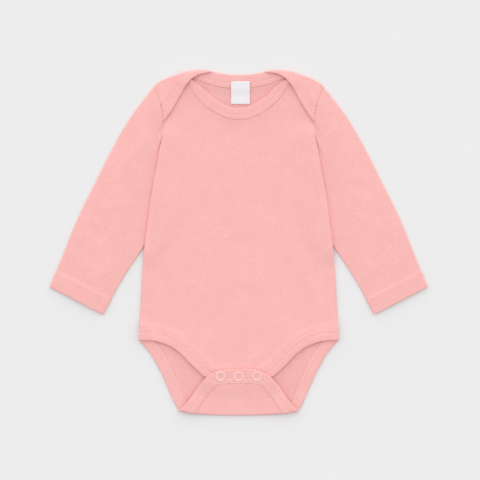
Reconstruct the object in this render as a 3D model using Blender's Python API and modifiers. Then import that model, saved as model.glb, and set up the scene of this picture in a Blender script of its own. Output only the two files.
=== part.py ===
"""A long-sleeved baby bodysuit with an envelope neck, laid flat on a table.

The neck points to +Y and the front of the garment faces +Z. The back is one piece of cloth: at each
shoulder it folds over and laps onto the front, and at the seat it folds up into the tab that snaps
over the front. Each layer is draped over the layers below it, so a piece is a thin wall that
follows what it lies on. Lengths in the tables and the formulas are in millimetres.
"""
import math
from collections import namedtuple

import bpy
import numpy as np
from mathutils import Vector
from mathutils.geometry import delaunay_2d_cdt

NAME = "baby_bodysuit"
MM = 0.001

CLOTH = 1.0            # one layer of the knit
BINDING = 2.0          # a folded binding strip
LABEL = 1.0            # the folded woven label
SEAM_GAP = 0.3         # between two pieces sewn together or lying on each other
TURNED_SEAM_GAP = 1.1  # the same where a seam turns over a fold
FOLD_GAP = 0.9         # inside a fold of the back piece
SLEEVE_GAP = 0.6       # between the two layers of a flattened sleeve
FRONT_TUCK = 7.0       # the front's shoulder edge ends this far inside the shoulder fold
FRONT_SHOULDER_X = 84.0  # where that edge meets the front's side
FRONT_SIDE_TOP = 154.0   # the highest point of the front's side

FACET = 12.0           # spacing of the points inside a panel
EDGE_STEP = 8.0        # spacing of the points along an edge
BAND_STEP = 4.0        # spacing along a fold of the points inside a binding
TURN_STEP = 1.2        # the same across a fold, where the cloth turns over
TURN_REACH = 3.6       # how far each side of a fold line the cloth turns
FOLD_LEVEL_AT = 3.0    # the layers' heights at a fold are taken this far inside it
NET_CLEARANCE = 0.4    # share of FACET that a panel's inner points keep from its other points
TURN_CLEARANCE = 0.8   # share of TURN_STEP that a fold's points keep from the outline
DRAPE = 8.0            # a layer bridges over a step in the layers below within this distance
TAB_DRAPE = 13.0       # the same for the stiff tab with its snaps
CELL = 2.0             # spacing of the grid that holds the layers' heights

PINK = (0.93, 0.43, 0.41)
PINK_BINDING = (0.93, 0.45, 0.43)
WHITE = (0.9, 0.9, 0.9)

Point = namedtuple("Point", "x y")

# The right half of each line, from the centre or from the shoulder. The left half mirrors it.
SHOULDER_FOLD = [      # top of the garment, where the back folds over
    Point(0.0, 183.2), Point(17.0, 184.0), Point(28.0, 184.9), Point(36.0, 185.8),
    Point(43.0, 186.0), Point(52.0, 184.9), Point(60.5, 182.9), Point(69.0, 180.4),
    Point(78.0, 177.2), Point(86.4, 172.8), Point(92.0, 167.9),
]
SEAT_FOLD = [          # bottom of the garment, where the back folds up into the tab
    Point(0.0, -186.4), Point(30.4, -185.7), Point(51.2, -184.1), Point(60.0, -182.8), Point(66.0, -180.4),
]
BODY_SIDE = [          # shoulder point, down the armhole, the side seam and to the leg
    Point(91.6, 167.8), Point(86.1, 154.8), Point(82.0, 141.2), Point(80.4, 131.3), Point(80.5, 122.7),
    Point(82.6, 111.0), Point(84.9, 100.7), Point(89.0, 77.9), Point(93.7, 52.1), Point(97.4, 25.5),
    Point(101.2, -3.1), Point(103.3, -29.6), Point(105.1, -62.0), Point(107.6, -105.4),
]
SLEEVE_OUTER = [       # shoulder point to cuff
    Point(92.2, 167.6), Point(100.9, 156.4), Point(115.4, 136.8), Point(136.1, 101.6), Point(150.6, 72.7),
    Point(174.2, 24.8), Point(191.5, -17.6), Point(203.5, -47.1),
]
SLEEVE_INNER = [       # underarm to cuff, the first part hidden under the body
    Point(85.5, 66.0), Point(84.2, 48.0), Point(87.0, 30.0), Point(93.2, 12.0), Point(102.3, -4.1),
    Point(114.3, -21.5), Point(126.0, -39.9), Point(146.2, -76.9),
]
SLEEVE_HEAD = [        # shoulder point to underarm, along the armhole and then under the body
    Point(92.5, 167.6), Point(86.9, 154.4), Point(82.8, 141.0), Point(81.2, 131.3), Point(81.2, 122.9),
    Point(83.2, 110.0), Point(83.6, 98.0), Point(84.0, 82.0), Point(85.5, 66.0),
]

# A binding is a row of sections from its folded edge to its seam. "over" is 1 where that point lies
# past the shoulder fold or the seat fold: x and y then say where it shows on top.
Section = namedtuple("Section", "edge_x edge_y edge_over seam_x seam_y seam_over")
BACK_NECK = [
    Section(0.0, 180.8, 0, 0.0, 166.5, 0), Section(17.3, 182.3, 0, 18.5, 167.8, 0),
    Section(27.0, 184.2, 0, 31.0, 170.6, 0), Section(34.0, 182.9, 1, 39.5, 173.7, 0),
    Section(42.3, 180.9, 1, 48.5, 177.2, 0), Section(50.6, 176.0, 1, 57.5, 180.6, 0),
    Section(57.0, 168.6, 1, 66.4, 175.0, 1), Section(64.2, 156.3, 1, 73.8, 163.0, 1),
    Section(73.3, 141.2, 1, 79.6, 154.4, 1), Section(80.6, 130.3, 1, 83.6, 149.2, 1),
]
FRONT_NECK = [
    Section(0.0, 145.2, 0, 0.0, 132.8, 0), Section(9.5, 146.6, 0, 11.5, 134.0, 0),
    Section(20.3, 151.8, 0, 25.5, 140.3, 0), Section(31.0, 159.4, 0, 39.0, 150.2, 0),
    Section(41.0, 169.0, 0, 49.0, 162.6, 0), Section(47.5, 173.9, 0, 53.7, 170.6, 0),
    Section(54.0, 178.0, 0, 59.5, 175.6, 0),
]
FRONT_LEG = [
    Section(0.0, -151.8, 0, 0.0, -138.2, 0), Section(15.0, -151.6, 0, 13.5, -138.0, 0),
    Section(26.5, -149.9, 0, 21.5, -137.2, 0), Section(35.6, -145.4, 0, 28.2, -135.4, 0),
    Section(42.3, -140.3, 0, 33.8, -131.2, 0), Section(49.2, -133.6, 0, 40.7, -124.6, 0),
    Section(60.6, -122.0, 0, 52.5, -112.8, 0), Section(72.0, -113.2, 0, 65.2, -102.2, 0),
    Section(83.3, -108.0, 0, 79.2, -95.2, 0), Section(94.8, -105.5, 0, 93.4, -92.0, 0),
    Section(107.6, -105.4, 0, 106.8, -91.6, 0),
]
BACK_LEG = [
    Section(0.0, -136.2, 1, 0.0, -151.8, 1), Section(13.5, -136.3, 1, 11.5, -151.8, 1),
    Section(24.5, -138.4, 1, 20.2, -152.4, 1), Section(35.4, -145.7, 1, 26.9, -156.4, 1),
    Section(42.8, -153.9, 1, 33.0, -163.2, 1), Section(50.8, -165.6, 1, 40.6, -173.6, 1),
    Section(58.5, -175.0, 1, 48.2, -184.0, 1), Section(65.0, -180.2, 0, 55.0, -174.8, 0),
    Section(70.5, -169.8, 0, 59.4, -164.4, 0), Section(75.8, -157.7, 0, 64.3, -152.7, 0),
    Section(81.1, -145.6, 0, 69.9, -140.3, 0), Section(87.1, -133.4, 0, 76.1, -127.5, 0),
    Section(93.2, -122.8, 0, 83.0, -115.8, 0), Section(100.8, -113.0, 0, 92.6, -104.0, 0),
    Section(107.6, -105.4, 0, 106.6, -89.6, 0),
]

LAP_TIP_Y = 130.3      # the lap's lower tip, on the armhole
LAP_SEAM_Y = 151.0     # where the lap's binding seam meets the armhole
UNDERARM_TUCK_Y = 124.0  # below this the sleeve goes under the body
HEAD_RISE = 28.0       # the sleeve comes down from the armhole's height within this distance

LABEL_WIDTH = 20.4
LABEL_TOP = 173.7
LABEL_BOTTOM = 149.4
LABEL_OFFSET = 1.8     # the label hangs a little to the garment's left of the centre

SNAP_PITCH = 19.6
SNAP_Y = -144.0
SNAP_STEPS = 16
SNAPS = [("left", -1), ("middle", 0), ("right", 1)]
# Half sections of the four parts of a snap: radius and height above the part's lowest face.
BACK_RING = [(2.6, 0.0), (4.9, 0.0), (4.9, 0.4), (4.4, 0.7), (3.1, 0.7), (2.6, 0.4)]
STUD = [(0.8, 0.0), (4.3, 0.0), (4.3, 0.5), (1.9, 0.5), (2.0, 1.5), (1.5, 1.9), (0.8, 1.9)]
SOCKET = [(2.4, 0.0), (4.0, 0.0), (4.5, 0.5), (4.5, 1.4), (2.4, 1.4)]
CAP_RING = [(2.6, 0.0), (4.95, 0.0), (4.95, 0.3), (4.4, 0.8), (3.2, 0.8), (2.6, 0.4)]


# ---------------------------------------------------------------- lines

def smooth(rows, step):
    """Points about step apart on a smooth line through the rows. Extra columns follow along."""
    rows = np.array(rows, float)
    along = np.concatenate([[0.0], np.cumsum(np.linalg.norm(np.diff(rows[:, :2], axis=0), axis=1))])
    slopes = np.gradient(rows, along, axis=0)
    places = np.linspace(0.0, along[-1], max(2, round(along[-1] / step) + 1))
    k = np.clip(np.searchsorted(along, places, side="right") - 1, 0, len(rows) - 2)
    span = along[k + 1] - along[k]
    t = ((places - along[k]) / span)[:, None]
    span = span[:, None]
    return ((1 + 2 * t) * (1 - t) ** 2 * rows[k] + t * (1 - t) ** 2 * span * slopes[k]
            + t ** 2 * (3 - 2 * t) * rows[k + 1] + t ** 2 * (t - 1) * span * slopes[k + 1])


def mirrored(rows):
    """The left half, then the right half, of a table whose first row lies on the centre line."""
    rows = np.array(rows, float)
    left = rows[:0:-1].copy()
    left[:, [c for c in (0, 3) if c < rows.shape[1]]] *= -1
    return np.vstack([left, rows])


def moved_sideways(line, distance):
    """The line moved to its left-hand side by distance, one number or one for each point."""
    along = np.gradient(line, axis=0)
    along /= np.linalg.norm(along, axis=1)[:, None]
    return line + np.column_stack([-along[:, 1] * distance, along[:, 0] * distance])


TOP_LINE = smooth(SHOULDER_FOLD, 1.0)
BOTTOM_LINE = smooth(SEAT_FOLD, 1.0)


def shoulder_fold(x):
    return np.interp(np.abs(x), TOP_LINE[:, 0], TOP_LINE[:, 1])


def seat_fold(x):
    return np.interp(np.abs(x), BOTTOM_LINE[:, 0], BOTTOM_LINE[:, 1])


def unfolded(x, y, over):
    """Where a point lies on the back piece before it is folded: y runs on past each fold."""
    fold = np.where(y > 0, shoulder_fold(x), seat_fold(x))
    return np.where(over > 0.5, 2 * fold - y, y)


def past_fold(x, y):
    """How far a point of the flat back piece lies past its nearest fold."""
    return np.where(y > 0, y - shoulder_fold(x), seat_fold(x) - y)


def thinned(line, columns):
    """The points of a fine line that are needed: close together only where the cloth turns over."""
    past = np.column_stack([past_fold(line[:, c], line[:, c + 1]) for c in columns])
    past = np.clip(past, -TURN_REACH, TURN_REACH)
    kept = [0]
    for k in range(1, len(line) - 1):
        moved = np.linalg.norm(line[k, :2] - line[kept[-1], :2])
        if moved > EDGE_STEP or np.abs(past[k] - past[kept[-1]]).max() > TURN_STEP:
            kept.append(k)
    return line[kept + [len(line) - 1]]


def strip(sections):
    """A binding's edge line and seam line on the flat piece, left to right."""
    rows = np.array(sections, float)
    rows[:, 1] = unfolded(rows[:, 0], rows[:, 1], rows[:, 2])
    rows[:, 4] = unfolded(rows[:, 3], rows[:, 4], rows[:, 5])
    fine = smooth(mirrored(rows), 0.2)
    line = mirrored(thinned(fine[fine[:, 0] > -0.01], (0, 3)))
    return line[:, :2], line[:, 3:5]


def inside(outline, x, y):
    """True where a point lies inside the closed outline."""
    hit = np.zeros(np.shape(x), bool)
    for (x0, y0), (x1, y1) in zip(outline, np.roll(outline, -1, axis=0)):
        if y0 != y1:
            hit ^= ((y0 > y) != (y1 > y)) & (x < (x1 - x0) * (y - y0) / (y1 - y0) + x0)
    return hit


# ---------------------------------------------------------------- outlines

def body_side():
    return smooth(BODY_SIDE, EDGE_STEP)


def cut_outline(neck_line, leg_line, side):
    """A closed outline: the neck line left to right, down the side, the leg line back, up the side."""
    return np.vstack([neck_line, side, leg_line[::-1], (side * [-1, 1])[::-1]])


back_neck_edge, back_neck_seam = strip(BACK_NECK)
front_neck_edge, front_neck_seam = strip(FRONT_NECK)
back_leg_edge, back_leg_seam = strip(BACK_LEG)
front_leg_edge, front_leg_seam = strip(FRONT_LEG)


def seam_gap(line):
    past = past_fold(line[:, 0], line[:, 1])
    return np.where(np.abs(past) < 2 * TURN_REACH, TURNED_SEAM_GAP, SEAM_GAP)


def lap_side(lowest):
    """The armhole edge of the shoulder lap on the flat piece, from its tip to the shoulder point."""
    line = body_side()
    line = line[line[:, 1] > lowest][::-1]
    return np.column_stack([line[:, 0], 2 * shoulder_fold(line[:, 0]) - line[:, 1]])[:-1]


def back_outline(neck_line, leg_line, lap_bottom):
    side = body_side()
    side = side[side[:, 1] > leg_line[-1, 1] + 1.0]
    return cut_outline(neck_line, leg_line, np.vstack([lap_side(lap_bottom), side]))


def front_shoulder(start, finish):
    """The front's hidden shoulder edge, just inside the fold of the back."""
    x = np.linspace(start, finish, 6)[1:]
    return np.column_stack([x, shoulder_fold(x) - FRONT_TUCK])


def front_outline(neck_line, leg_line):
    side = body_side()
    shoulder = front_shoulder(neck_line[-1, 0], FRONT_SHOULDER_X)
    side = side[(side[:, 1] < FRONT_SIDE_TOP) & (side[:, 1] > leg_line[-1, 1] + 1.0)]
    return cut_outline(neck_line, leg_line, np.vstack([shoulder, side]))


BACK_CUT = back_outline(back_neck_edge, back_leg_edge, LAP_TIP_Y + 0.7)
FRONT_CUT = front_outline(front_neck_edge, front_leg_edge)
BACK_PANEL_CUT = back_outline(moved_sideways(back_neck_seam, -seam_gap(back_neck_seam)),
                              moved_sideways(back_leg_seam, seam_gap(back_leg_seam)), LAP_SEAM_Y)
FRONT_PANEL_CUT = front_outline(moved_sideways(front_neck_seam, -SEAM_GAP),
                                moved_sideways(front_leg_seam, SEAM_GAP))
SLEEVE_CUT = np.vstack([smooth(SLEEVE_OUTER, EDGE_STEP), smooth(SLEEVE_INNER, EDGE_STEP)[::-1],
                        smooth(SLEEVE_HEAD, EDGE_STEP)[::-1]])


# ---------------------------------------------------------------- heights of the layers

GRID_X, GRID_Y = np.meshgrid(np.arange(-220.0, 221.0, CELL), np.arange(-200.0, 201.0, CELL))


def disc(reach):
    n = int(reach // CELL)
    return [(i, j) for i in range(-n, n + 1) for j in range(-n, n + 1) if math.hypot(i, j) * CELL <= reach]


def shifted(field, i, j, margin):
    padded = np.pad(field, margin, mode="edge")
    rows, columns = field.shape
    return padded[margin + i:margin + i + rows, margin + j:margin + j + columns]


def drape(field, softness):
    """The middle of a cloth that lies over the field: nowhere lower, and with no sharp step."""
    reach = FACET + softness
    margin = int(reach // CELL) + 1
    high = np.max([shifted(field, i, j, margin) for i, j in disc(reach)], axis=0)
    return np.mean([shifted(high, i, j, margin) for i, j in disc(softness)], axis=0)


def read(field, x, y):
    """The field's value at any point, between its grid points."""
    u = (np.asarray(x) - GRID_X[0, 0]) / CELL
    v = (np.asarray(y) - GRID_Y[0, 0]) / CELL
    i = np.clip(v.astype(int), 0, field.shape[0] - 2)
    j = np.clip(u.astype(int), 0, field.shape[1] - 2)
    s, t = u - j, v - i
    return ((1 - t) * ((1 - s) * field[i, j] + s * field[i, j + 1])
            + t * ((1 - s) * field[i + 1, j] + s * field[i + 1, j + 1]))


def strip_outline(edge, seam):
    return np.vstack([edge, seam[::-1]])


def half_thickness(edge_seam_pairs, y):
    """Half the cloth's thickness at each grid point: more where it is a binding."""
    bound = np.zeros(GRID_X.shape, bool)
    for edge, seam in edge_seam_pairs:
        bound |= inside(strip_outline(edge, seam), GRID_X, y)
    return np.where(bound, BINDING / 2, CLOTH / 2)


def snap_places():
    return [(name, side * SNAP_PITCH) for name, side in SNAPS]


def snap_zone(profile):
    reach = max(radius for radius, height in profile)
    return np.any([np.hypot(GRID_X - x, GRID_Y - SNAP_Y) < reach for name, x in snap_places()], axis=0)


def height(profile):
    return max(z for radius, z in profile)


BACK_STRIPS = [(back_neck_edge, back_neck_seam), (back_leg_edge, back_leg_seam)]
FRONT_STRIPS = [(front_neck_edge, front_neck_seam), (front_leg_edge, front_leg_seam)]
SLEEVE_HEIGHT = 2 * CLOTH + SLEEVE_GAP

on_back = inside(BACK_CUT, GRID_X, GRID_Y) & (GRID_Y < shoulder_fold(GRID_X)) & (GRID_Y > seat_fold(GRID_X))
on_front = inside(FRONT_CUT, GRID_X, GRID_Y)
tucked = on_back & inside(SLEEVE_CUT, np.abs(GRID_X), GRID_Y)

back_half = half_thickness(BACK_STRIPS, GRID_Y)
BACK_MID = drape(np.where(tucked, SLEEVE_HEIGHT + SEAM_GAP, 0.0) + back_half, DRAPE)
back_top = np.where(on_back, BACK_MID + back_half, 0.0)

BACK_RING_Z = float(read(back_top, 0.0, SNAP_Y)) + SEAM_GAP
under_front = np.where(snap_zone(BACK_RING), BACK_RING_Z + height(BACK_RING), back_top)
front_half = half_thickness(FRONT_STRIPS, GRID_Y)
FRONT_MID = drape(under_front + SEAM_GAP + front_half, DRAPE)
front_top = np.where(on_front, FRONT_MID + front_half, 0.0)

STUD_Z = float(read(FRONT_MID, 0.0, SNAP_Y)) + BINDING / 2 + SEAM_GAP
SOCKET_Z = STUD_Z + STUD[2][1] + SEAM_GAP
under_tab = np.maximum(front_top + SEAM_GAP, back_top + FOLD_GAP)
under_tab = np.where(snap_zone(SOCKET), SOCKET_Z + height(SOCKET) + SEAM_GAP, under_tab)
TAB_MID = drape(under_tab + half_thickness(BACK_STRIPS, 2 * seat_fold(GRID_X) - GRID_Y), TAB_DRAPE)
CAP_RING_Z = float(read(TAB_MID, 0.0, SNAP_Y)) + BINDING / 2 + SEAM_GAP

under_lap = np.maximum(front_top + SEAM_GAP, back_top + FOLD_GAP)
LAP_MID = drape(under_lap + half_thickness(BACK_STRIPS, 2 * shoulder_fold(GRID_X) - GRID_Y), DRAPE)

LABEL_MID = drape(back_top + SEAM_GAP + LABEL / 2, DRAPE / 2)


# ---------------------------------------------------------------- from the flat piece to its place

def fold_over(x, y, fold, up, top_field):
    """Points past the fold turn over it in a half round and come back on top.

    up is 1 where the flat piece runs to +Y over its fold and -1 where it runs to -Y.
    """
    near = fold - up * FOLD_LEVEL_AT
    low, high = read(BACK_MID, x, near), read(top_field, x, near)
    radius = (high - low) / 2
    reach = radius + BINDING / 2
    past = up * (y - fold)
    turn = np.clip((past + reach) / (2 * reach), 0.0, 1.0) * math.pi
    round_y = fold - up * (reach - radius * np.sin(turn))
    round_z = (low + high) / 2 - radius * np.cos(turn)
    back_y = 2 * fold - y
    before, after = past <= -reach, past >= reach
    out_y = np.where(before, y, np.where(after, back_y, round_y))
    out_z = np.where(before, read(BACK_MID, x, y), np.where(after, read(top_field, x, back_y), round_z))
    return np.column_stack([x, out_y, out_z])


def lay_back(flat):
    """The middle of the back piece, its laps and its tab."""
    x, y = flat[:, 0], flat[:, 1]
    upper = fold_over(x, y, shoulder_fold(x), 1, LAP_MID)
    lower = fold_over(x, y, seat_fold(x), -1, TAB_MID)
    return np.where((y > 0)[:, None], upper, lower)


def lay_front(flat):
    return np.column_stack([flat, read(FRONT_MID, flat[:, 0], flat[:, 1])])


def lay_label(flat):
    return np.column_stack([flat, read(LABEL_MID, flat[:, 0], flat[:, 1])])


def fold_rows(spacing):
    """Rows of extra points on the flat back piece where it turns over its folds."""
    points = []
    for fold, limit in ((shoulder_fold, SHOULDER_FOLD[-1].x - 1.0), (seat_fold, SEAT_FOLD[-1].x)):
        middle = np.linspace(-limit, limit, round(2 * limit / spacing) + 1)
        slope = (fold(middle + 1.0) - fold(middle - 1.0)) / 2
        for past in np.linspace(-TURN_REACH, TURN_REACH, 7):
            x = middle - slope * past / (1 + slope ** 2)
            points.append(np.column_stack([x, fold(x) + past]))
    return np.vstack(points)


# ---------------------------------------------------------------- meshes

def make_material(name, colour, roughness, metallic=0.0):
    material = bpy.data.materials.new(name)
    material.use_nodes = True
    shader = material.node_tree.nodes["Principled BSDF"]
    shader.inputs["Base Color"].default_value = (*colour, 1.0)
    shader.inputs["Roughness"].default_value = roughness
    shader.inputs["Metallic"].default_value = metallic
    material.diffuse_color = (*colour, 1.0)
    return material


def add_object(name, vertices, faces, colour, collection, roughness=0.85):
    mesh = bpy.data.meshes.new(name)
    mesh.from_pydata([tuple(v) for v in np.asarray(vertices) * MM], [], [tuple(f) for f in faces])
    mesh.update()
    obj = bpy.data.objects.new(name, mesh)
    obj.data.materials.append(make_material(name, colour, roughness))
    collection.objects.link(obj)
    return obj


def thicken(obj, thickness):
    """The open surface is the middle of the cloth."""
    wall = obj.modifiers.new("cloth", "SOLIDIFY")
    wall.thickness = thickness * MM
    wall.offset = 0.0
    obj.data.shade_smooth()
    return obj


def net(outline, turns=None, filled=True):
    """Triangles over the outline, from points about FACET apart and the points where it turns over."""
    low, high = outline.min(axis=0), outline.max(axis=0)
    points = np.empty((0, 2))
    if turns is not None:
        points = turns[clearance(turns, outline) > TURN_STEP * TURN_CLEARANCE]
    if filled:
        rows = np.arange(low[1], high[1], FACET * math.sqrt(3) / 2)
        mesh = np.array([(x + FACET / 2 * (k % 2), y) for k, y in enumerate(rows)
                         for x in np.arange(FACET * math.floor(low[0] / FACET), high[0], FACET)])
        mesh = mesh[clearance(mesh, np.vstack([outline, points])) > FACET * NET_CLEARANCE]
        points = np.vstack([points, mesh])
    points = np.vstack([outline, points[inside(outline, points[:, 0], points[:, 1])]])
    count = len(outline)
    loop = [(k, (k + 1) % count) for k in range(count)]
    result = delaunay_2d_cdt([Vector(p) for p in points], loop, [], 1, 1e-6)
    return np.array([tuple(v) for v in result[0]]), result[2]


def clearance(points, others):
    return np.linalg.norm(points[:, None] - others[None], axis=2).min(axis=1)


def facing_up(flat, faces):
    """The same faces, each turned counter-clockwise on the flat piece."""
    turned = []
    for face in faces:
        a, b, c = (flat[k] for k in face[:3])
        area = (b[0] - a[0]) * (c[1] - a[1]) - (b[1] - a[1]) * (c[0] - a[0])
        turned.append(tuple(face) if area > 0 else tuple(face[::-1]))
    return turned


def panel(name, outline, place, collection, turns=None):
    flat, faces = net(outline, turns)
    obj = add_object(name, place(flat), facing_up(flat, faces), PINK, collection)
    return thicken(obj, CLOTH)


def band(name, edge, seam, place, collection, turns=None):
    flat, faces = net(strip_outline(edge, seam), turns, filled=False)
    obj = add_object(name, place(flat), facing_up(flat, faces), PINK_BINDING, collection)
    return thicken(obj, BINDING)


def resampled(line, count):
    along = np.concatenate([[0.0], np.cumsum(np.linalg.norm(np.diff(line, axis=0), axis=1))])
    places = np.linspace(0.0, along[-1], count)
    return np.column_stack([np.interp(places, along, line[:, 0]), np.interp(places, along, line[:, 1])])


def sleeve_net(along, across):
    """A net of points between the sleeve's four edges: shoulder to cuff, and outer to inner edge."""
    outer = resampled(smooth(SLEEVE_OUTER, 2.0), along + 1)[:, None]
    inner = resampled(smooth(SLEEVE_INNER, 2.0), along + 1)[:, None]
    head = resampled(smooth(SLEEVE_HEAD, 2.0), across + 1)[None]
    cuff = (outer[-1] + (inner[-1] - outer[-1]) * np.linspace(0, 1, across + 1)[:, None])[None]
    s = np.linspace(0, 1, along + 1)[:, None, None]
    t = np.linspace(0, 1, across + 1)[None, :, None]
    corners = ((1 - s) * (1 - t) * outer[0] + (1 - s) * t * inner[0]
               + s * (1 - t) * outer[-1] + s * t * inner[-1])
    return (1 - t) * outer + t * inner + (1 - s) * head + s * cuff - corners


def sleeve_top(spread):
    """The middle of the sleeve's upper layer, raised at the armhole to meet the cloth it is sewn to."""
    flat_height = CLOTH * 1.5 + SLEEVE_GAP
    head = spread[0]
    lap = read(LAP_MID, head[:, 0], head[:, 1])
    front = read(FRONT_MID, head[:, 0], head[:, 1])
    meets = np.where(head[:, 1] > LAP_TIP_Y, lap, front)
    meets = np.where(head[:, 1] > UNDERARM_TUCK_Y, meets, flat_height)
    away = np.linalg.norm(spread - head[None], axis=2) / HEAD_RISE
    share = np.clip(1.0 - away, 0.0, 1.0)
    share = share * share * (3 - 2 * share)
    return flat_height + share * (meets - flat_height)[None]


def sleeve(name, side, collection, along=18, across=5, bend=2):
    """A flattened tube, open at the armhole and at the cuff."""
    spread = sleeve_net(along, across)
    tops = sleeve_top(spread)
    end_reach = (CLOTH + SLEEVE_GAP) / 2
    low = CLOTH / 2
    rings = []
    for row, high in zip(spread, tops):
        unit = (row[-1] - row[0]) / np.linalg.norm(row[-1] - row[0])
        flat = row.copy()
        flat[0] += unit * (end_reach + CLOTH / 2)
        flat[-1] -= unit * (end_reach + CLOTH / 2)
        turn = np.linspace(0, math.pi, bend + 2)[1:-1]
        inner_edge = [(*(flat[-1] + unit * end_reach * math.sin(a)),
                       (high[-1] + low) / 2 + (high[-1] - low) / 2 * math.cos(a)) for a in turn]
        outer_edge = [(*(flat[0] - unit * end_reach * math.sin(a)),
                       (high[0] + low) / 2 - (high[0] - low) / 2 * math.cos(a)) for a in turn]
        upper = [(*p, z) for p, z in zip(flat, high)]
        lower = [(*p, low) for p in flat[::-1]]
        rings.append(upper + inner_edge + lower + outer_edge)
    points = np.array(rings)
    points[..., 0] *= side
    n = points.shape[1]
    faces = [(r * n + c, (r + 1) * n + c, (r + 1) * n + (c + 1) % n, r * n + (c + 1) % n)
             for r in range(along) for c in range(n)]
    if side < 0:
        faces = [face[::-1] for face in faces]
    obj = add_object(name, points.reshape(-1, 3), faces, PINK, collection)
    return thicken(obj, CLOTH)


def turned(name, profile, x, y, z, collection):
    """A ring turned about a vertical axis from its half section."""
    count = len(profile)
    points = [(radius, 0.0, level) for radius, level in reversed(profile)]
    edges = [(k, (k + 1) % count) for k in range(count)]
    mesh = bpy.data.meshes.new(name)
    mesh.from_pydata([tuple(np.array(p) * MM) for p in points], edges, [])
    obj = bpy.data.objects.new(name, mesh)
    obj.location = (x * MM, y * MM, z * MM)
    collection.objects.link(obj)
    screw = obj.modifiers.new("turn", "SCREW")
    screw.steps = SNAP_STEPS
    screw.render_steps = SNAP_STEPS
    screw.use_merge_vertices = True
    screw.merge_threshold = 0.00001
    obj.data.materials.append(make_material(name, PINK_BINDING, 0.5))
    return obj


def snap(name, x, collection):
    turned(f"snap_back_ring_{name}", BACK_RING, x, SNAP_Y, BACK_RING_Z, collection)
    turned(f"snap_stud_{name}", STUD, x, SNAP_Y, STUD_Z, collection)
    turned(f"snap_socket_{name}", SOCKET, x, SNAP_Y, SOCKET_Z, collection)
    turned(f"snap_cap_ring_{name}", CAP_RING, x, SNAP_Y, CAP_RING_Z, collection)


def neck_label(collection):
    columns = np.linspace(-LABEL_WIDTH / 2, LABEL_WIDTH / 2, 5) + LABEL_OFFSET
    rows = np.linspace(LABEL_BOTTOM, LABEL_TOP, 6)
    flat = np.array([(x, y) for y in rows for x in columns])
    n = len(columns)
    faces = [(r * n + c, r * n + c + 1, (r + 1) * n + c + 1, (r + 1) * n + c)
             for r in range(len(rows) - 1) for c in range(n - 1)]
    obj = add_object("neck_label", lay_label(flat), faces, WHITE, collection, 0.5)
    return thicken(obj, LABEL)


def build():
    for obj in list(bpy.data.objects):
        bpy.data.objects.remove(obj, do_unlink=True)
    collection = bpy.data.collections.new(NAME)
    bpy.context.scene.collection.children.link(collection)

    panel("back_panel", BACK_PANEL_CUT, lay_back, collection, fold_rows(EDGE_STEP))
    panel("front_panel", FRONT_PANEL_CUT, lay_front, collection)
    sleeve("sleeve_right", 1, collection)
    sleeve("sleeve_left", -1, collection)
    band("back_neck_binding", back_neck_edge, back_neck_seam, lay_back, collection, fold_rows(BAND_STEP))
    band("front_neck_binding", front_neck_edge, front_neck_seam, lay_front, collection)
    band("back_leg_binding", back_leg_edge, back_leg_seam, lay_back, collection, fold_rows(BAND_STEP))
    band("front_leg_binding", front_leg_edge, front_leg_seam, lay_front, collection)
    neck_label(collection)
    for name, x in snap_places():
        snap(name, x, collection)


build()
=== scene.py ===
"""The looks of a long-sleeved baby bodysuit with an envelope neck, laid flat.

Each cut piece of the frame is made again as thin cloth in the same place. The neck points to +Y and
the front faces +Z. The back is one piece: at each shoulder it folds over and laps onto the front,
and at the seat it folds up into the tab that snaps over the front. A piece is first drawn on the
flat cloth, then a "lay" function says where each of its points lies. Lengths are in millimetres.
"""
import math
from collections import namedtuple

import bmesh
import bpy
import numpy as np
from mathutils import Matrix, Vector
from mathutils.geometry import delaunay_2d_cdt


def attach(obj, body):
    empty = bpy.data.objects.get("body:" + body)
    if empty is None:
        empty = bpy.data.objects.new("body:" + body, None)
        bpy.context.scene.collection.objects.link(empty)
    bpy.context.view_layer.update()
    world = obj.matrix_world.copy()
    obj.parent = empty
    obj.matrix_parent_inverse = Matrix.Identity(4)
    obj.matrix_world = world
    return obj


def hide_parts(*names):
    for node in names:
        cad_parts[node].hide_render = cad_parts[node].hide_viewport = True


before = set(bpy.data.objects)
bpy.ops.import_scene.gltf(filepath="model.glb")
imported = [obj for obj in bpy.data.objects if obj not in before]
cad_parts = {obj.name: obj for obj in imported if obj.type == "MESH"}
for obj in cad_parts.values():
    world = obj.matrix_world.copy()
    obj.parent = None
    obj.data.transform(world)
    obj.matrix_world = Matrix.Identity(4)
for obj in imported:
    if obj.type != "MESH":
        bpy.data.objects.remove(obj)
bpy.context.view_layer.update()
MM = 0.001

KNIT = 0.8             # one layer of the knit
BINDING = 2.2          # a binding strip folded round the edge of a panel
BINDING_WIDTH = 13.0
RIPPLE = 0.25          # how far a binding's folded edge wavers
LIP = 0.55             # each of the two layers of a binding
RIM_NOSE = 0.4         # how far a panel's rounded rim stands out, as a share of its thickness
SLOT = 2.4             # how deep a panel's edge goes into its binding
EDGE_IN_SLOT = 1.7     # where the panel's edge ends in the slot
LAYER_GAP = 0.25       # between two pieces that lie on each other
FOLD_GAP = 0.5         # inside the shoulder folds
SEAT_GAP = 1.1         # inside the seat fold
SLEEVE_GAP = 0.5       # between the two layers of a flattened sleeve
SLEEVE_HEIGHT = 2 * KNIT + SLEEVE_GAP
FLOOR_GAP = 0.12       # under the back
TUCK_SOFTNESS = 9.0    # within these distances a layer comes down from what lies under it
BODY_SOFTNESS = 3.0
LAP_SOFTNESS = 3.0
TAB_SOFTNESS = 9.0
LABEL_SOFTNESS = 2.0
LUMP = 0.10            # heights of the slight lumps of washed knit, the wide and the small ones
SMALL_LUMP = 0.05
BACK_LUMP = 0.08
SLACK = 0.35           # how far a layer lifts off the one below
TURNED_SHARE = 0.5     # share of a layer's relief that the laps and the tab have
FRONT_TUCK = 7.0       # the front's shoulder edge ends this far inside the shoulder fold
FRONT_SHOULDER_X = 84.0
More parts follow.
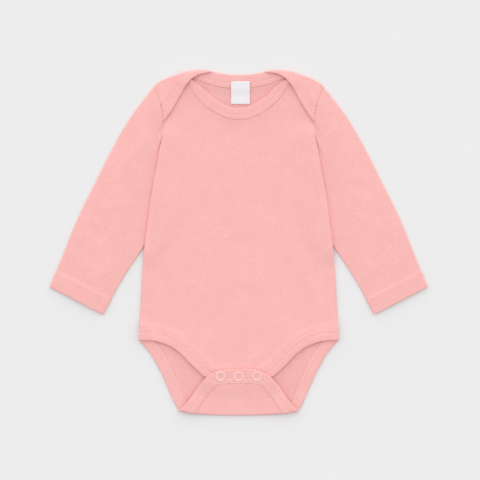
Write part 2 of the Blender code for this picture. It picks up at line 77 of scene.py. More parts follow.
FRONT_SIDE_TOP = 154.0
LAP_TIP_Y = 130.3      # the lap's lower tip, on the armhole
LAP_SEAM_Y = 120.0     # the lap sinks along the armhole's seam above this
LAP_SEAM_EASE = 8.0
UNDERARM_Y = 112.0     # below this the body lies over the sleeve
UNDERARM_EASE = 10.0
ARMHOLE_TOP = 168.0
LEG_Y = -112.0         # the side seams end above this
HEAD_RISE = 28.0       # the sleeve comes down from the armhole's height within this distance

PANEL_STEP = 1.8       # spacing of the points of a panel
BAND_STEP = 0.9        # spacing of a binding's sections
OUTLINE_STEP = 4.0     # spacing of the points of the outlines that only mark an area
MESH_MARGIN = 0.81     # between a panel's outline and its other points
WELD = 1e-5            # points nearer than this are one
TURN_REACH = 2.8       # how far each side of a fold line the cloth turns over
TURN_STEP = 0.4        # spacing of the points across a fold
TURN_ALONG = 1.3       # and along it
FOLD_LEVEL_AT = 4.0    # the layers' heights at a fold are taken this far inside it
CELL = 1.0             # spacing of the grid that holds the layers' heights
CLEAR = 1.5            # a layer keeps its height this far past what it lies on
PROBE = 0.2            # half the span over which a slope is measured
LATTICE = 160          # lumps of noise each way

Point = namedtuple("Point", "x y")


def table(kind, rows):
    return [kind(*row) for row in rows]


# The right half of each line, from the centre or from the shoulder. The left half mirrors it.
SHOULDER_FOLD = table(Point, [      # top of the garment, where the back folds over
    (0, 183.2), (17, 184), (28, 184.9), (36, 185.8),
    (43, 186), (52, 184.9), (60.5, 182.9), (69, 180.4),
    (78, 177.2), (86.4, 172.8), (92, 167.9),
])
SEAT_FOLD = table(Point, [          # bottom of the garment, where the back folds up into the tab
    (0, -186.4), (30.4, -185.7), (51.2, -184.1), (60, -182.8), (66, -180.4),
])
BODY_SIDE = table(Point, [          # shoulder point, down the armhole, the side seam and to the leg
    (91.6, 167.8), (86.1, 154.8), (82, 141.2), (80.4, 131.3), (80.5, 122.7),
    (82.6, 111), (84.9, 100.7), (89, 77.9), (93.7, 52.1), (97.4, 25.5),
    (101.2, -3.1), (103.3, -29.6), (105.1, -62), (107.6, -105.4),
])
SLEEVE_OUTER = table(Point, [       # shoulder point to cuff
    (90.9, 168.4), (100.9, 156.2), (115.4, 136.8), (136.1, 101.6), (150.6, 72.7),
    (174.2, 24.8), (191.5, -17.6), (203.5, -47.1),
])
SLEEVE_INNER = table(Point, [       # underarm to cuff, the first part hidden under the body
    (85.5, 66), (84.2, 48), (87, 30), (93.2, 12), (102.3, -4.1),
    (114.3, -21.5), (126, -39.9), (146.2, -76.9),
])
SLEEVE_HEAD = table(Point, [        # shoulder point to underarm, along the armhole and then under the body
    (90.9, 168.4), (85.7, 154.9), (81.5, 141.3), (79.8, 131.3), (80, 122.6),
    (82.4, 110), (83.4, 98), (84, 82), (85.5, 66),
])

# A binding is a row of sections from its folded edge to its seam. "over" is 1 where that point lies
# past the shoulder fold or the seat fold: x and y then say where it shows on top.
Section = namedtuple("Section", "edge_x edge_y edge_over seam_x seam_y seam_over")
BACK_NECK = table(Section, [
    (0, 180.8, 0, 0, 166.5, 0), (17.3, 182.3, 0, 18.5, 167.8, 0),
    (27, 184.2, 0, 31, 170.6, 0), (34, 182.9, 1, 39.5, 173.7, 0),
    (42.3, 180.9, 1, 48.5, 177.2, 0), (50.6, 176, 1, 57.5, 180.6, 0),
    (57, 168.6, 1, 66.4, 175, 1), (64.2, 156.3, 1, 73.8, 163, 1),
    (73.3, 141.2, 1, 79.6, 154.4, 1), (80.6, 130.3, 1, 83.6, 149.2, 1),
])
FRONT_NECK = table(Section, [
    (0, 145.2, 0, 0, 132.8, 0), (9.5, 146.6, 0, 11.5, 134, 0),
    (20.3, 151.8, 0, 25.5, 140.3, 0), (31, 159.4, 0, 39, 150.2, 0),
    (41, 169, 0, 49, 162.6, 0), (47.5, 173.9, 0, 53.7, 170.6, 0),
    (54, 178, 0, 59.5, 175.6, 0),
])
FRONT_LEG = table(Section, [
    (0, -151.8, 0, 0, -138.2, 0), (15, -151.6, 0, 13.5, -138, 0),
    (26.5, -149.9, 0, 21.5, -137.2, 0), (35.6, -145.4, 0, 28.2, -135.4, 0),
    (42.3, -140.3, 0, 33.8, -131.2, 0), (49.2, -133.6, 0, 40.7, -124.6, 0),
    (60.6, -122, 0, 52.5, -112.8, 0), (72, -113.2, 0, 65.2, -102.2, 0),
    (83.3, -108, 0, 79.2, -95.2, 0), (94.8, -105.5, 0, 93.4, -92, 0),
    (107.6, -105.4, 0, 106.8, -91.6, 0),
])
BACK_LEG = table(Section, [
    (0, -136.2, 1, 0, -151.8, 1), (13.5, -136.3, 1, 11.5, -151.8, 1),
    (24.5, -138.4, 1, 20.2, -152.4, 1), (35.4, -145.7, 1, 26.9, -156.4, 1),
    (42.8, -153.9, 1, 33, -163.2, 1), (50.8, -165.6, 1, 40.6, -173.6, 1),
    (58.5, -175, 1, 48.2, -184, 1), (65, -180.2, 0, 55, -174.8, 0),
    (70.5, -169.8, 0, 59.4, -164.4, 0), (75.8, -157.7, 0, 64.3, -152.7, 0),
    (81.1, -145.6, 0, 69.9, -140.3, 0), (87.1, -133.4, 0, 76.1, -127.5, 0),
    (93.2, -122.8, 0, 83, -115.8, 0), (100.8, -113, 0, 92.6, -104, 0),
    (107.6, -105.4, 0, 106.6, -89.6, 0),
])

SEAM_TOP = 118.0       # the side seams' turned edges run from underarm to the leg bindings
SEAM_BOTTOM = -91.0
SEAM_STEP = 1.0
SEAM_TURNS = 16
SEAM_HALF_WIDTH = 0.55
SEAM_COVER = 0.45      # how far the seam goes over and under its two layers, as a share of the cloth
SEAM_SQUARE = 0.6      # 1 makes its section round, less makes it squarer

LABEL_WIDTH = 20.4
LABEL_TOP = 173.7
LABEL_BOTTOM = 149.4
LABEL_OFFSET = 1.8     # the label hangs a little to the garment's left of the centre
LABEL = 0.8            # its two layers and the air between them
LABEL_AIR = 0.12       # that air
LABEL_FOLD = 2.0       # the air ends this far from its fold
LABEL_ROW = 1.6        # its row of stitches, from its top
LABEL_PITCH = 2.4

SNAP_PITCH = 19.6
SNAP_Y = -144.0
SNAP_TURNS = 48
SNAPS = [("left", -SNAP_PITCH), ("middle", 0.0), ("right", SNAP_PITCH)]
PINCH = 0.45           # share of a binding's thickness that a snap presses out
PINCH_REACH = 6.5
PINCH_EASE = 4.0
FLAT_ROUND_SNAP = 5.0  # no relief this near to a snap, and all of it SNAP_EASE further
SNAP_EASE = 12.0
SNAP_SEAT = 0.05       # the stud stands this far off its cloth, and the cap ring sinks this far in
SNAP_GAP = 0.1         # above the stud's base and above the socket
STUD_BASE = 0.25       # height of the stud's flat base
# Half sections of the four parts of a snap: radius and height above the part's lowest face.
BACK_RING = [(2.6, 0.1), (2.8, 0.0), (4.7, 0.0), (4.9, 0.15), (4.8, 0.4), (4.4, 0.55), (3.1, 0.55),
             (2.6, 0.35)]
STUD = [(0.8, 0.0), (4.2, 0.0), (4.3, 0.1), (4.2, 0.25), (2.0, 0.35), (1.9, 0.6), (2.1, 0.8), (1.6, 1.0),
        (0.8, 1.0)]
SOCKET = [(2.4, 0.1), (2.6, 0.0), (4.0, 0.0), (4.4, 0.2), (4.5, 0.4), (4.4, 0.65), (4.1, 0.8), (2.4, 0.8)]
CAP_RING = [(2.55, 0.0), (4.9, 0.0), (5.05, 0.2), (4.98, 0.55), (4.8, 0.82), (4.55, 0.92), (4.3, 0.84),
            (4.12, 0.55), (3.9, 0.36), (3.4, 0.32), (3.0, 0.36), (2.7, 0.28)]

# Soft creases: a place, the direction of the crease, its half length and half width, how far its
# middle bows sideways, and its height, below zero for a trough.
Crease = namedtuple("Crease", "x y angle length width bow height")
FRONT_CREASES = table(Crease, [
    (-66, 108, -58, 26, 6, 4, 0.34), (-55, 96, -52, 22, 5, 3, -0.26),
    (69, 104, 60, 28, 6.5, -4, 0.30), (58, 88, 66, 22, 6, -3, -0.28),
    (-12, 60, 20, 22, 12, 3, 0.30), (24, 36, -30, 30, 9, 5, -0.22),
    (-34, 12, 42, 34, 8, -4, 0.24), (42, -8, -46, 32, 9, 4, 0.22),
    (-58, -34, 70, 26, 7, 3, -0.24), (8, -42, 12, 34, 10, -4, 0.24),
    (-36, -90, 30, 24, 8, 4, -0.32), (40, -84, -34, 26, 7, -3, 0.26),
    (0, 118, 0, 20, 9, -5, -0.36), (-84, -60, 82, 30, 6, 3, 0.24),
    (80, -52, -80, 34, 6, -3, 0.26), (4, -116, 6, 26, 7, 3, -0.28),
    (-88, 40, 84, 30, 5, -2, 0.20), (74, 62, -78, 30, 6, 2, -0.26),
])
BACK_CREASES = table(Crease, [
    (-40, 70, 50, 36, 9, 5, 0.30), (30, 20, -40, 40, 10, -6, 0.34),
    (-10, -40, 10, 40, 9, 6, 0.28), (50, -90, -60, 30, 8, 4, 0.26),
    (-74, -130, 60, 16, 5, 2, 0.22), (74, -128, -62, 16, 5, -2, 0.24),
    (0, 156, 4, 20, 5, 2, 0.20),
])
SLEEVE_CREASES = {
    "right": table(Crease, [
        (132, 70, -20, 20, 5, 3, 0.40), (126, 58, -14, 20, 5, 2, -0.30),
        (146, 34, 30, 18, 5.5, -3, 0.36), (166, 6, 64, 20, 7, 3, -0.42),
        (150, -24, 40, 20, 6, 2, 0.34), (104, 118, 66, 20, 6, -2, 0.36),
        (120, 104, -60, 26, 6, 3, -0.30), (172, -30, -60, 16, 6, 2, 0.30),
    ]),
    "left": table(Crease, [
        (-118, 92, 52, 24, 6, -3, 0.36), (-140, 56, 22, 20, 5, 3, -0.34),
        (-130, 40, 10, 20, 5, -2, 0.36), (-152, 8, -30, 18, 7, 3, -0.38),
        (-178, -20, 62, 18, 6, 2, -0.34), (-150, -34, 20, 20, 6, -2, 0.34),
        (-100, 128, -70, 18, 6, 2, -0.40), (-164, 26, 70, 22, 6, 2, 0.28),
    ]),
}

PINK = (0.942, 0.488, 0.469)
PINK_INSIDE = (0.90, 0.466, 0.446)
PINK_THREAD = (0.98, 0.640, 0.620)
CUFF_THREAD = (0.96, 0.560, 0.540)
# The snaps' pink is set lighter than their own colour: a painted highlight on the rims' crests.
# snap_material darkens the hollows with painted shade.
PINK_SNAP_WITH_PAINTED_HIGHLIGHT = (0.970, 0.670, 0.650)
LABEL_WHITE = (0.835, 0.805, 0.830)
FLOOR_GREY = (0.80, 0.80, 0.80)

STITCH_PITCH = 2.7
STITCH_LENGTH = 2.1
STITCH_WIDTH = 0.68
STITCH_FLATNESS = 2.6  # a stitch's width over its half height
STITCH_DIP = 0.55      # how deep its ends go, as a share of its width
STITCH_REACH = 0.6     # half the span over which a row's direction is measured
ROWS = (1.5, 4.7)      # a binding's two rows of stitches, from its seam
ROW_SINK = 0.06        # how far those rows lie below the binding's upper face
LOWER_ROW_SINK = 0.25  # and inside its lower face
HEM_ROWS = ((10.4, 13.4), (16.0, 18.0))  # a cuff's rows from its edge, at the outer and inner side

SIDES = [("left", -1), ("right", 1)]


# ---- lines

def ease(t):
    """0 to 1 with level ends."""
    t = np.clip(t, 0.0, 1.0)
    return t * t * (3 - 2 * t)


def distances(line):
    """How far along the line each of its points lies."""
    return np.concatenate([[0.0], np.cumsum(np.linalg.norm(np.diff(line, axis=0), axis=1))])


def smooth(rows, step):
    """Points about step apart on a smooth line through the rows. Extra columns follow along."""
    rows = np.array(rows, float)
    along = distances(rows[:, :2])
    slopes = np.gradient(rows, along, axis=0)
    places = np.linspace(0.0, along[-1], max(2, round(along[-1] / step) + 1))
    k = np.clip(np.searchsorted(along, places, side="right") - 1, 0, len(rows) - 2)
    span = along[k + 1] - along[k]
    t = ((places - along[k]) / span)[:, None]
    span = span[:, None]
    return ((1 + 2 * t) * (1 - t) ** 2 * rows[k] + t * (1 - t) ** 2 * span * slopes[k]
            + t ** 2 * (3 - 2 * t) * rows[k + 1] + t ** 2 * (t - 1) * span * slopes[k + 1])


def mirrored(rows):
    """The left half, then the right half, of a table whose first row lies on the centre line."""
    rows = np.array(rows, float)
    left = rows[:0:-1].copy()
    left[:, [c for c in (0, 3) if c < rows.shape[1]]] *= -1
    return np.vstack([left, rows])


def moved_sideways(line, distance):
    """The line moved to its left-hand side."""
    along = np.gradient(line, axis=0)
    along /= np.linalg.norm(along, axis=1)[:, None]
    return line + np.column_stack([-along[:, 1] * distance, along[:, 0] * distance])


def columns_at(places, along, points):
    """The points' columns read at the places along their line."""
    return np.column_stack([np.interp(places, along, points[:, c]) for c in range(points.shape[1])])


def resampled(line, count):
    along = distances(line)
    return columns_at(np.linspace(0.0, along[-1], count), along, line)


def coarser(line, step):
    return resampled(line, max(2, int(distances(line)[-1] / step) + 1))


TOP_LINE = smooth(SHOULDER_FOLD, 1.0)
BOTTOM_LINE = smooth(SEAT_FOLD, 1.0)
SIDE_LINE = smooth(BODY_SIDE, 1.0)


def shoulder_fold(x):
    return np.interp(np.abs(x), TOP_LINE[:, 0], TOP_LINE[:, 1])


def seat_fold(x):
    return np.interp(np.abs(x), BOTTOM_LINE[:, 0], BOTTOM_LINE[:, 1])


def body_side_x(y):
    return np.interp(-np.asarray(y), -SIDE_LINE[:, 1], SIDE_LINE[:, 0])


def unfolded(x, y, over):
    """Where a point lies on the back piece before it is folded: y runs on past each fold."""
    fold = np.where(y > 0, shoulder_fold(x), seat_fold(x))
    return np.where(over > 0.5, 2 * fold - y, y)


def past_fold(x, y):
    """How far a point of the flat back piece lies past its nearest fold."""
    return np.where(y > 0, y - shoulder_fold(x), seat_fold(x) - y)


def thinned(line):
    """The sections of a fine strip that are needed: close together only where the cloth turns over."""
    past = []
    for share in np.linspace(0.0, 1.0, 5):
        x = line[:, 0] + (line[:, 3] - line[:, 0]) * share
        y = line[:, 1] + (line[:, 4] - line[:, 1]) * share
        past.append(np.clip(past_fold(x, y), -TURN_REACH, TURN_REACH))
    past = np.column_stack(past)
    kept = [0]
    for k in range(1, len(line) - 1):
        moved = np.linalg.norm(line[k, :2] - line[kept[-1], :2])
        if moved > BAND_STEP or np.abs(past[k] - past[kept[-1]]).max() > TURN_STEP:
            kept.append(k)
    return line[kept + [len(line) - 1]]


def strip(sections):
    """A binding's edge line and seam line on the flat piece, left to right."""
    rows = np.array(sections, float)
    rows[:, 1] = unfolded(rows[:, 0], rows[:, 1], rows[:, 2])
    rows[:, 4] = unfolded(rows[:, 3], rows[:, 4], rows[:, 5])
    fine = smooth(mirrored(rows), 0.1)
    line = mirrored(thinned(fine[fine[:, 0] > -0.01]))
    return line[:, :2], line[:, 3:5]


def inside(outline, x, y):
    """True where a point lies inside the closed outline."""
    hit = np.zeros(np.shape(x), bool)
    for (x0, y0), (x1, y1) in zip(outline, np.roll(outline, -1, axis=0)):
        if y0 != y1:
            hit ^= ((y0 > y) != (y1 > y)) & (x < (x1 - x0) * (y - y0) / (y1 - y0) + x0)
    return hit


# ---- outlines

back_neck_edge, back_neck_seam = strip(BACK_NECK)
front_neck_edge, front_neck_seam = strip(FRONT_NECK)
back_leg_edge, back_leg_seam = strip(BACK_LEG)
front_leg_edge, front_leg_seam = strip(FRONT_LEG)


def cut_outline(neck_line, leg_line, side, step):
    """A closed outline: the neck line left to right, down the side, the leg line back, up the side."""
    neck, leg = coarser(neck_line, step), coarser(leg_line, step)
    return np.vstack([neck, side, leg[::-1], (side * [-1, 1])[::-1]])


def side_above(lowest, step):
    """The body's side from the shoulder point down to a height, which another line begins at."""
    side = smooth(BODY_SIDE, step)
    return side[side[:, 1] > lowest + step / 3]


def back_outline(neck_line, leg_line, step):
    """The back piece between its neck line and its leg line: up each lap's armhole, then the side."""
    tip = 2 * shoulder_fold(neck_line[-1, 0]) - neck_line[-1, 1]
    x, y = side_above(tip, step)[:0:-1].T
    lap = np.column_stack([x, 2 * shoulder_fold(x) - y])
    return cut_outline(neck_line, leg_line, np.vstack([lap, side_above(leg_line[-1, 1], step)]), step)


def front_outline(neck_line, leg_line, step):
    start = neck_line[-1, 0]
    x = np.linspace(start, FRONT_SHOULDER_X, max(3, round((FRONT_SHOULDER_X - start) / step)))[1:]
    shoulder = np.column_stack([x, shoulder_fold(x) - FRONT_TUCK])
    side = side_above(leg_line[-1, 1], step)
    side = side[side[:, 1] < FRONT_SIDE_TOP]
    return cut_outline(neck_line, leg_line, np.vstack([shoulder, side]), step)


BACK_CUT = back_outline(back_neck_edge, back_leg_edge, OUTLINE_STEP)
FRONT_CUT = front_outline(front_neck_edge, front_leg_edge, OUTLINE_STEP)
SLEEVE_CUT = np.vstack([smooth(SLEEVE_OUTER, OUTLINE_STEP), smooth(SLEEVE_INNER, OUTLINE_STEP)[::-1],
                        smooth(SLEEVE_HEAD, OUTLINE_STEP)[::-1]])


# ---- heights of the layers

GRID = np.meshgrid(np.arange(-220.0, 221.0, CELL), np.arange(-200.0, 201.0, CELL))
GRID_X, GRID_Y = GRID


def over_disc(field, reach, join):
    """The join of the field's values within reach of each grid point, and how many there are."""
    n = int(reach // CELL)
    padded = np.pad(field, n, mode="edge")
    rows, columns = field.shape
    result, count = None, 0
    for i in range(2 * n + 1):
        for j in range(2 * n + 1):
            if math.hypot(i - n, j - n) * CELL <= reach:
                part = padded[i:i + rows, j:j + columns]
                result = part.copy() if result is None else join(result, part)
                count += 1
    return result, count


def averaged(field, reach):
    total, count = over_disc(field, reach, np.add)
    return total / count


def drape(field, softness):
    """The middle of a cloth that lies over the field: nowhere lower, and with no sharp step."""
    high, _ = over_disc(field, CLEAR + softness, np.maximum)
    return averaged(high, softness)


def between_cells(field, i, j, s, t):
    """The field's value a share s along and t up in the cell at row i and column j."""
    return ((1 - t) * ((1 - s) * field[i, j] + s * field[i, j + 1])
            + t * ((1 - s) * field[i + 1, j] + s * field[i + 1, j + 1]))


def read(field, x, y):
    """The field's value at any point, between its grid points."""
    u = (np.asarray(x) - GRID_X[0, 0]) / CELL
    v = (np.asarray(y) - GRID_Y[0, 0]) / CELL
    i = np.clip(v.astype(int), 0, field.shape[0] - 2)
    j = np.clip(u.astype(int), 0, field.shape[1] - 2)
    return between_cells(field, i, j, u - j, v - i)


def cloud(x, y, size, seed):
    """Smooth noise from -1 to 1 whose lumps are about size across."""
    lattice = np.random.default_rng(seed).uniform(-1, 1, (LATTICE, LATTICE))
    u, v = np.asarray(x) / size + LATTICE / 4, np.asarray(y) / size + LATTICE / 4
    j, i = np.floor(u).astype(int), np.floor(v).astype(int)
    return between_cells(lattice, i, j, ease(u - j), ease(v - i))


def creased(rows, x, y):
    """The height of the creases at each point."""
    total = np.zeros(np.shape(x))
    for crease in rows:
        angle = math.radians(crease.angle)
        along = (x - crease.x) * math.cos(angle) + (y - crease.y) * math.sin(angle)
        across = (y - crease.y) * math.cos(angle) - (x - crease.x) * math.sin(angle)
        across = across - crease.bow * (along / crease.length) ** 2
        total += crease.height * np.exp(-(across / crease.width) ** 2 - (along / crease.length) ** 2)
    return total


def soft_cloth(rows, seed):
    """A layer's own relief: its creases and the slight lumps of washed knit. Never below zero."""
    lumps = LUMP * cloud(*GRID, 17.0, seed) + SMALL_LUMP * cloud(*GRID, 9.0, seed + 1)
    return np.maximum(creased(rows, *GRID) + lumps + SLACK, 0.0)


def snap_distance(x, y):
    return np.min([np.hypot(x - centre, y - SNAP_Y) for _, centre in SNAPS], axis=0)


def pinch(x, y):
    """The share of a binding's thickness that is left near the snaps."""
    return 1.0 - PINCH * (1.0 - ease((snap_distance(x, y) - PINCH_REACH) / PINCH_EASE))


def half_thickness(strips, y):
    """Half the cloth's thickness at each grid point: more where it is a binding."""
    bound = np.zeros(GRID_X.shape, bool)
    for edge, seam in strips:
        outline = np.vstack([coarser(edge, OUTLINE_STEP), coarser(seam, OUTLINE_STEP)[::-1]])
        bound |= inside(outline, GRID_X, y)
    return np.where(bound, BINDING / 2 * pinch(*GRID), KNIT / 2)


def snap_zone(profile):
    reach = max(radius for radius, height in profile)
    return snap_distance(*GRID) < reach


def height(profile):
    return max(z for radius, z in profile)


DIP = 0.2              # how far the armhole's seam sinks, and how wide that is
DIP_WIDTH = 0.8
ALLOWANCE = 0.24       # how far the armhole's seam allowance lifts the body
ALLOWANCE_WIDTH = 5.2
TURN_DOWN = 0.15       # how far the body's edge turns down along the side seam
TURN_DOWN_WIDTH = 2.0
BULK = 0.45            # how far the side seam's allowance lifts the front
BULK_WIDTH = 6.0


def side_relief():
    """Along the armhole the seam sinks and its allowance lifts the body side; along the side seam
    the edge turns down over the allowance."""
    inward = body_side_x(GRID_Y) - np.abs(GRID_X)
    armhole = ease((GRID_Y - UNDERARM_Y) / UNDERARM_EASE) * (GRID_Y < ARMHOLE_TOP)
    seam = -DIP * np.exp(-(inward / DIP_WIDTH) ** 2)
    allowance = ALLOWANCE * ease((inward - DIP_WIDTH) / 1.4) * (1 - ease((inward - ALLOWANCE_WIDTH) / 1.2))
    edge = -TURN_DOWN * np.clip(1 - inward / TURN_DOWN_WIDTH, 0.0, 1.5) ** 2
    bulk = BULK * (1 - ease((inward - BULK_WIDTH) / 4.0))
    below = (GRID_Y > LEG_Y) & (GRID_Y < UNDERARM_Y + UNDERARM_EASE)
    return armhole * (seam + allowance) + (1 - armhole) * below * (edge + bulk)


BACK_STRIPS = [(back_neck_edge, back_neck_seam), (back_leg_edge, back_leg_seam)]
FRONT_STRIPS = [(front_neck_edge, front_neck_seam), (front_leg_edge, front_leg_seam)]
between_folds = (GRID_Y < shoulder_fold(GRID_X)) & (GRID_Y > seat_fold(GRID_X))
on_back = inside(BACK_CUT, *GRID) & between_folds
on_front = inside(FRONT_CUT, *GRID)
tucked = on_back & inside(SLEEVE_CUT, np.abs(GRID_X), GRID_Y) & (GRID_Y < UNDERARM_Y)
SIDE_RELIEF = side_relief()

back_half = half_thickness(BACK_STRIPS, GRID_Y)
over_sleeves = drape(np.where(tucked, SLEEVE_HEIGHT + LAYER_GAP, 0.0), TUCK_SOFTNESS)
BACK_MID = drape(over_sleeves + back_half, BODY_SOFTNESS) + FLOOR_GAP
back_relief = creased(BACK_CREASES, *GRID) + BACK_LUMP * cloud(*GRID, 14.0, seed=11)
BACK_MID = BACK_MID + np.maximum(back_relief, 0.0) * on_back
back_top = np.where(on_back, BACK_MID + back_half, 0.0)

BACK_RING_Z = float(read(back_top, 0.0, SNAP_Y)) + LAYER_GAP
under_front = np.where(snap_zone(BACK_RING), BACK_RING_Z + height(BACK_RING), back_top)
front_half = half_thickness(FRONT_STRIPS, GRID_Y)
FRONT_MID = drape(under_front + LAYER_GAP + front_half, BODY_SOFTNESS)
away_from_snaps = ease((snap_distance(*GRID) - FLAT_ROUND_SNAP) / SNAP_EASE)
front_relief = soft_cloth(FRONT_CREASES, seed=3)
FRONT_MID = FRONT_MID + front_relief * away_from_snaps + SIDE_RELIEF
front_top = np.where(on_front, FRONT_MID + front_half, 0.0)

STUD_Z = float(read(FRONT_MID + front_half, 0.0, SNAP_Y)) + SNAP_SEAT
SOCKET_Z = STUD_Z + STUD_BASE + SNAP_GAP
under_tab = np.maximum(front_top + LAYER_GAP, back_top + SEAT_GAP)
under_tab = np.where(snap_zone(SOCKET), SOCKET_Z + height(SOCKET) + SNAP_GAP, under_tab)
tab_half = half_thickness(BACK_STRIPS, 2 * seat_fold(GRID_X) - GRID_Y)
TAB_MID = drape(under_tab + tab_half, TAB_SOFTNESS)
TAB_MID = TAB_MID + away_from_snaps * soft_cloth([], seed=21) * TURNED_SHARE
CAP_RING_Z = float(read(TAB_MID + tab_half, 0.0, SNAP_Y)) - SNAP_SEAT

lap_half = half_thickness(BACK_STRIPS, 2 * shoulder_fold(GRID_X) - GRID_Y)
LAP_MID = drape(np.maximum(front_top + LAYER_GAP, back_top + FOLD_GAP) + lap_half, LAP_SOFTNESS)
LAP_MID = LAP_MID + soft_cloth([], seed=31) * TURNED_SHARE
LAP_MID = LAP_MID + SIDE_RELIEF * ease((GRID_Y - LAP_SEAM_Y) / LAP_SEAM_EASE)

LABEL_MID = drape(back_top + LAYER_GAP + LABEL / 2, LABEL_SOFTNESS)
HALF_AT_FOLD = averaged(back_half, 2.0)


# ---- from the flat piece to its place

def fold_over(x, y, fold, up, top_field):
    """Points past the fold turn over it in a half round and come back on top.

    up is 1 where the flat piece runs to +Y over its fold and -1 where it runs to -Y.
    """
    near = fold - up * FOLD_LEVEL_AT
    low, high = read(BACK_MID, x, near), read(top_field, x, near)
    radius = (high - low) / 2
    reach = radius + read(HALF_AT_FOLD, x, near)
    past = up * (y - fold)
    turn = np.clip((past + reach) / (2 * reach), 0.0, 1.0) * math.pi
    round_y = fold - up * (reach - radius * np.sin(turn))
    round_z = (low + high) / 2 - radius * np.cos(turn)
    back_y = 2 * fold - y
    before, after = past <= -reach, past >= reach
    # Near the fold the layers' own heights give way to the round's.
    share = ease((np.abs(past) - reach) / FOLD_LEVEL_AT)
    flat_z = low + (read(BACK_MID, x, y) - low) * share
    top_z = high + (read(top_field, x, back_y) - high) * share
    out_y = np.where(before, y, np.where(after, back_y, round_y))
    out_z = np.where(before, flat_z, np.where(after, top_z, round_z))
    return np.column_stack([x, out_y, out_z])


def lay_back(flat):
    """The middle of the back piece, its laps and its tab."""
    x, y = flat[:, 0], flat[:, 1]
    upper = fold_over(x, y, shoulder_fold(x), 1, LAP_MID)
    lower = fold_over(x, y, seat_fold(x), -1, TAB_MID)
    return np.where((y > 0)[:, None], upper, lower)


def lay_on(field):
    """The lay function of a piece that isn't folded over."""
    return lambda flat: np.column_stack([flat, read(field, flat[:, 0], flat[:, 1])])


lay_front, lay_label = lay_on(FRONT_MID), lay_on(LABEL_MID)


def unit(vectors):
    return vectors / np.maximum(np.linalg.norm(vectors, axis=-1), 1e-9)[..., None]


def normals(lay, flat):
    """The side of the cloth that faces up before any fold."""
    along_x, along_y = np.array([PROBE, 0.0]), np.array([0.0, PROBE])
    rightward = lay(flat + along_x) - lay(flat - along_x)
    upward = lay(flat + along_y) - lay(flat - along_y)
    return unit(np.cross(rightward, upward))


def laid(lay, flat):
    """Where the flat points lie and which way the cloth faces there."""
    return lay(flat), normals(lay, flat)


# ---- materials

class Tree:
    """Short calls for a material's nodes. A surface's own coordinates are in millimetres."""

    def __init__(self, name, roughness, sheen=0.0, sheen_roughness=0.5, specular=0.5, coat=0.0):
        self.material = bpy.data.materials.new(name)
        self.material.use_nodes = True
        self.nodes = self.material.node_tree.nodes
        self.links = self.material.node_tree.links
        self.shader = self.nodes["Principled BSDF"]
        values = {"Roughness": roughness, "Sheen Weight": sheen, "Sheen Roughness": sheen_roughness,
                  "Specular IOR Level": specular, "Coat Weight": coat}
        for socket, value in values.items():
            self.shader.inputs[socket].default_value = value

    def node(self, kind, **values):
        made = self.nodes.new(kind)
        for name, value in values.items():
            setattr(made, name, value)
        return made

    def feed(self, socket, value):
        if isinstance(value, bpy.types.NodeSocket):
            self.links.new(value, socket)
        else:
            socket.default_value = value

    def math(self, operation, *values):
        made = self.node("ShaderNodeMath", operation=operation)
        for socket, value in zip(made.inputs, values):
            self.feed(socket, value)
        return made.outputs[0]

    def weave(self):
        """The two coordinates of the flat cloth: across its wales and along them."""
        made = self.node("ShaderNodeUVMap", uv_map="weave")
        parts = self.node("ShaderNodeSeparateXYZ")
        self.feed(parts.inputs[0], made.outputs[0])
        return parts.outputs[0], parts.outputs[1]

    def noise(self, size, detail=2.0):
        """Noise in the object's own space."""
        place = self.node("ShaderNodeTexCoord")
        made = self.node("ShaderNodeTexNoise")
        self.feed(made.inputs["Vector"], place.outputs["Object"])
        made.inputs["Scale"].default_value = 1.0 / (size * MM)
        made.inputs["Detail"].default_value = detail
        return made.outputs[0]

    def wave(self, value, period=1.0):
        """1 to 0 and back in each period."""
        turn = self.math("MULTIPLY", value, 2 * math.pi / period)
        return self.math("MULTIPLY_ADD", self.math("COSINE", turn), 0.5, 0.5)

    def colour(self, base, swings, warmth=0.0, shade=1.0):
        """The base colour times the shade, lighter and darker by each factor's swing.

        With warmth, the darker shades keep more of their red.
        """
        for factor, swing in swings:
            around_one = self.math("MULTIPLY_ADD", factor, 2 * swing, 1.0 - swing)
            shade = self.math("MULTIPLY", around_one, shade)
        change = self.node("ShaderNodeVectorMath", operation="SCALE")
        change.inputs[0].default_value = (base[0] * (1 - warmth), base[1], base[2])
        self.feed(change.inputs["Scale"], self.math("SUBTRACT", shade, 1.0))
        made = self.node("ShaderNodeVectorMath", operation="ADD")
        made.inputs[0].default_value = base
        self.feed(made.inputs[1], change.outputs[0])
        self.feed(self.shader.inputs["Base Color"], made.outputs[0])

    def roughen(self, factor, low, high):
        self.feed(self.shader.inputs["Roughness"], self.math("MULTIPLY_ADD", factor, high - low, low))

    def bump(self, layers):
        """Each layer is a height from 0 to 1 and what it stands for in millimetres."""
        normal = None
        for level, depth in layers:
            made = self.node("ShaderNodeBump")
            made.inputs["Distance"].default_value = depth * MM
            self.feed(made.inputs["Height"], level)
            if normal is not None:
                self.feed(made.inputs["Normal"], normal)
            normal = made.outputs[0]
        self.feed(self.shader.inputs["Normal"], normal)


WALE = 0.9             # width of one column of stitches of the knit
COURSE = 0.7           # height of one row of them


def face_loops(tree, across, along):
    """The face of plain knit: columns of small Vs."""
    turn = tree.math("FRACT", tree.math("DIVIDE", across, WALE))
    leg = tree.math("MULTIPLY", tree.math("ABSOLUTE", tree.math("SUBTRACT", turn, 0.5)), 2.0)
    row = tree.math("MULTIPLY_ADD", leg, -0.55, tree.math("DIVIDE", along, COURSE))
    loop = tree.math("MULTIPLY_ADD", tree.wave(row), 0.4, 0.6)
    crown = tree.math("SUBTRACT", 1.0, tree.math("ABSOLUTE", tree.math("MULTIPLY_ADD", leg, 2.0, -1.0)))
    return tree.math("MULTIPLY", tree.math("POWER", crown, 0.6), loop)


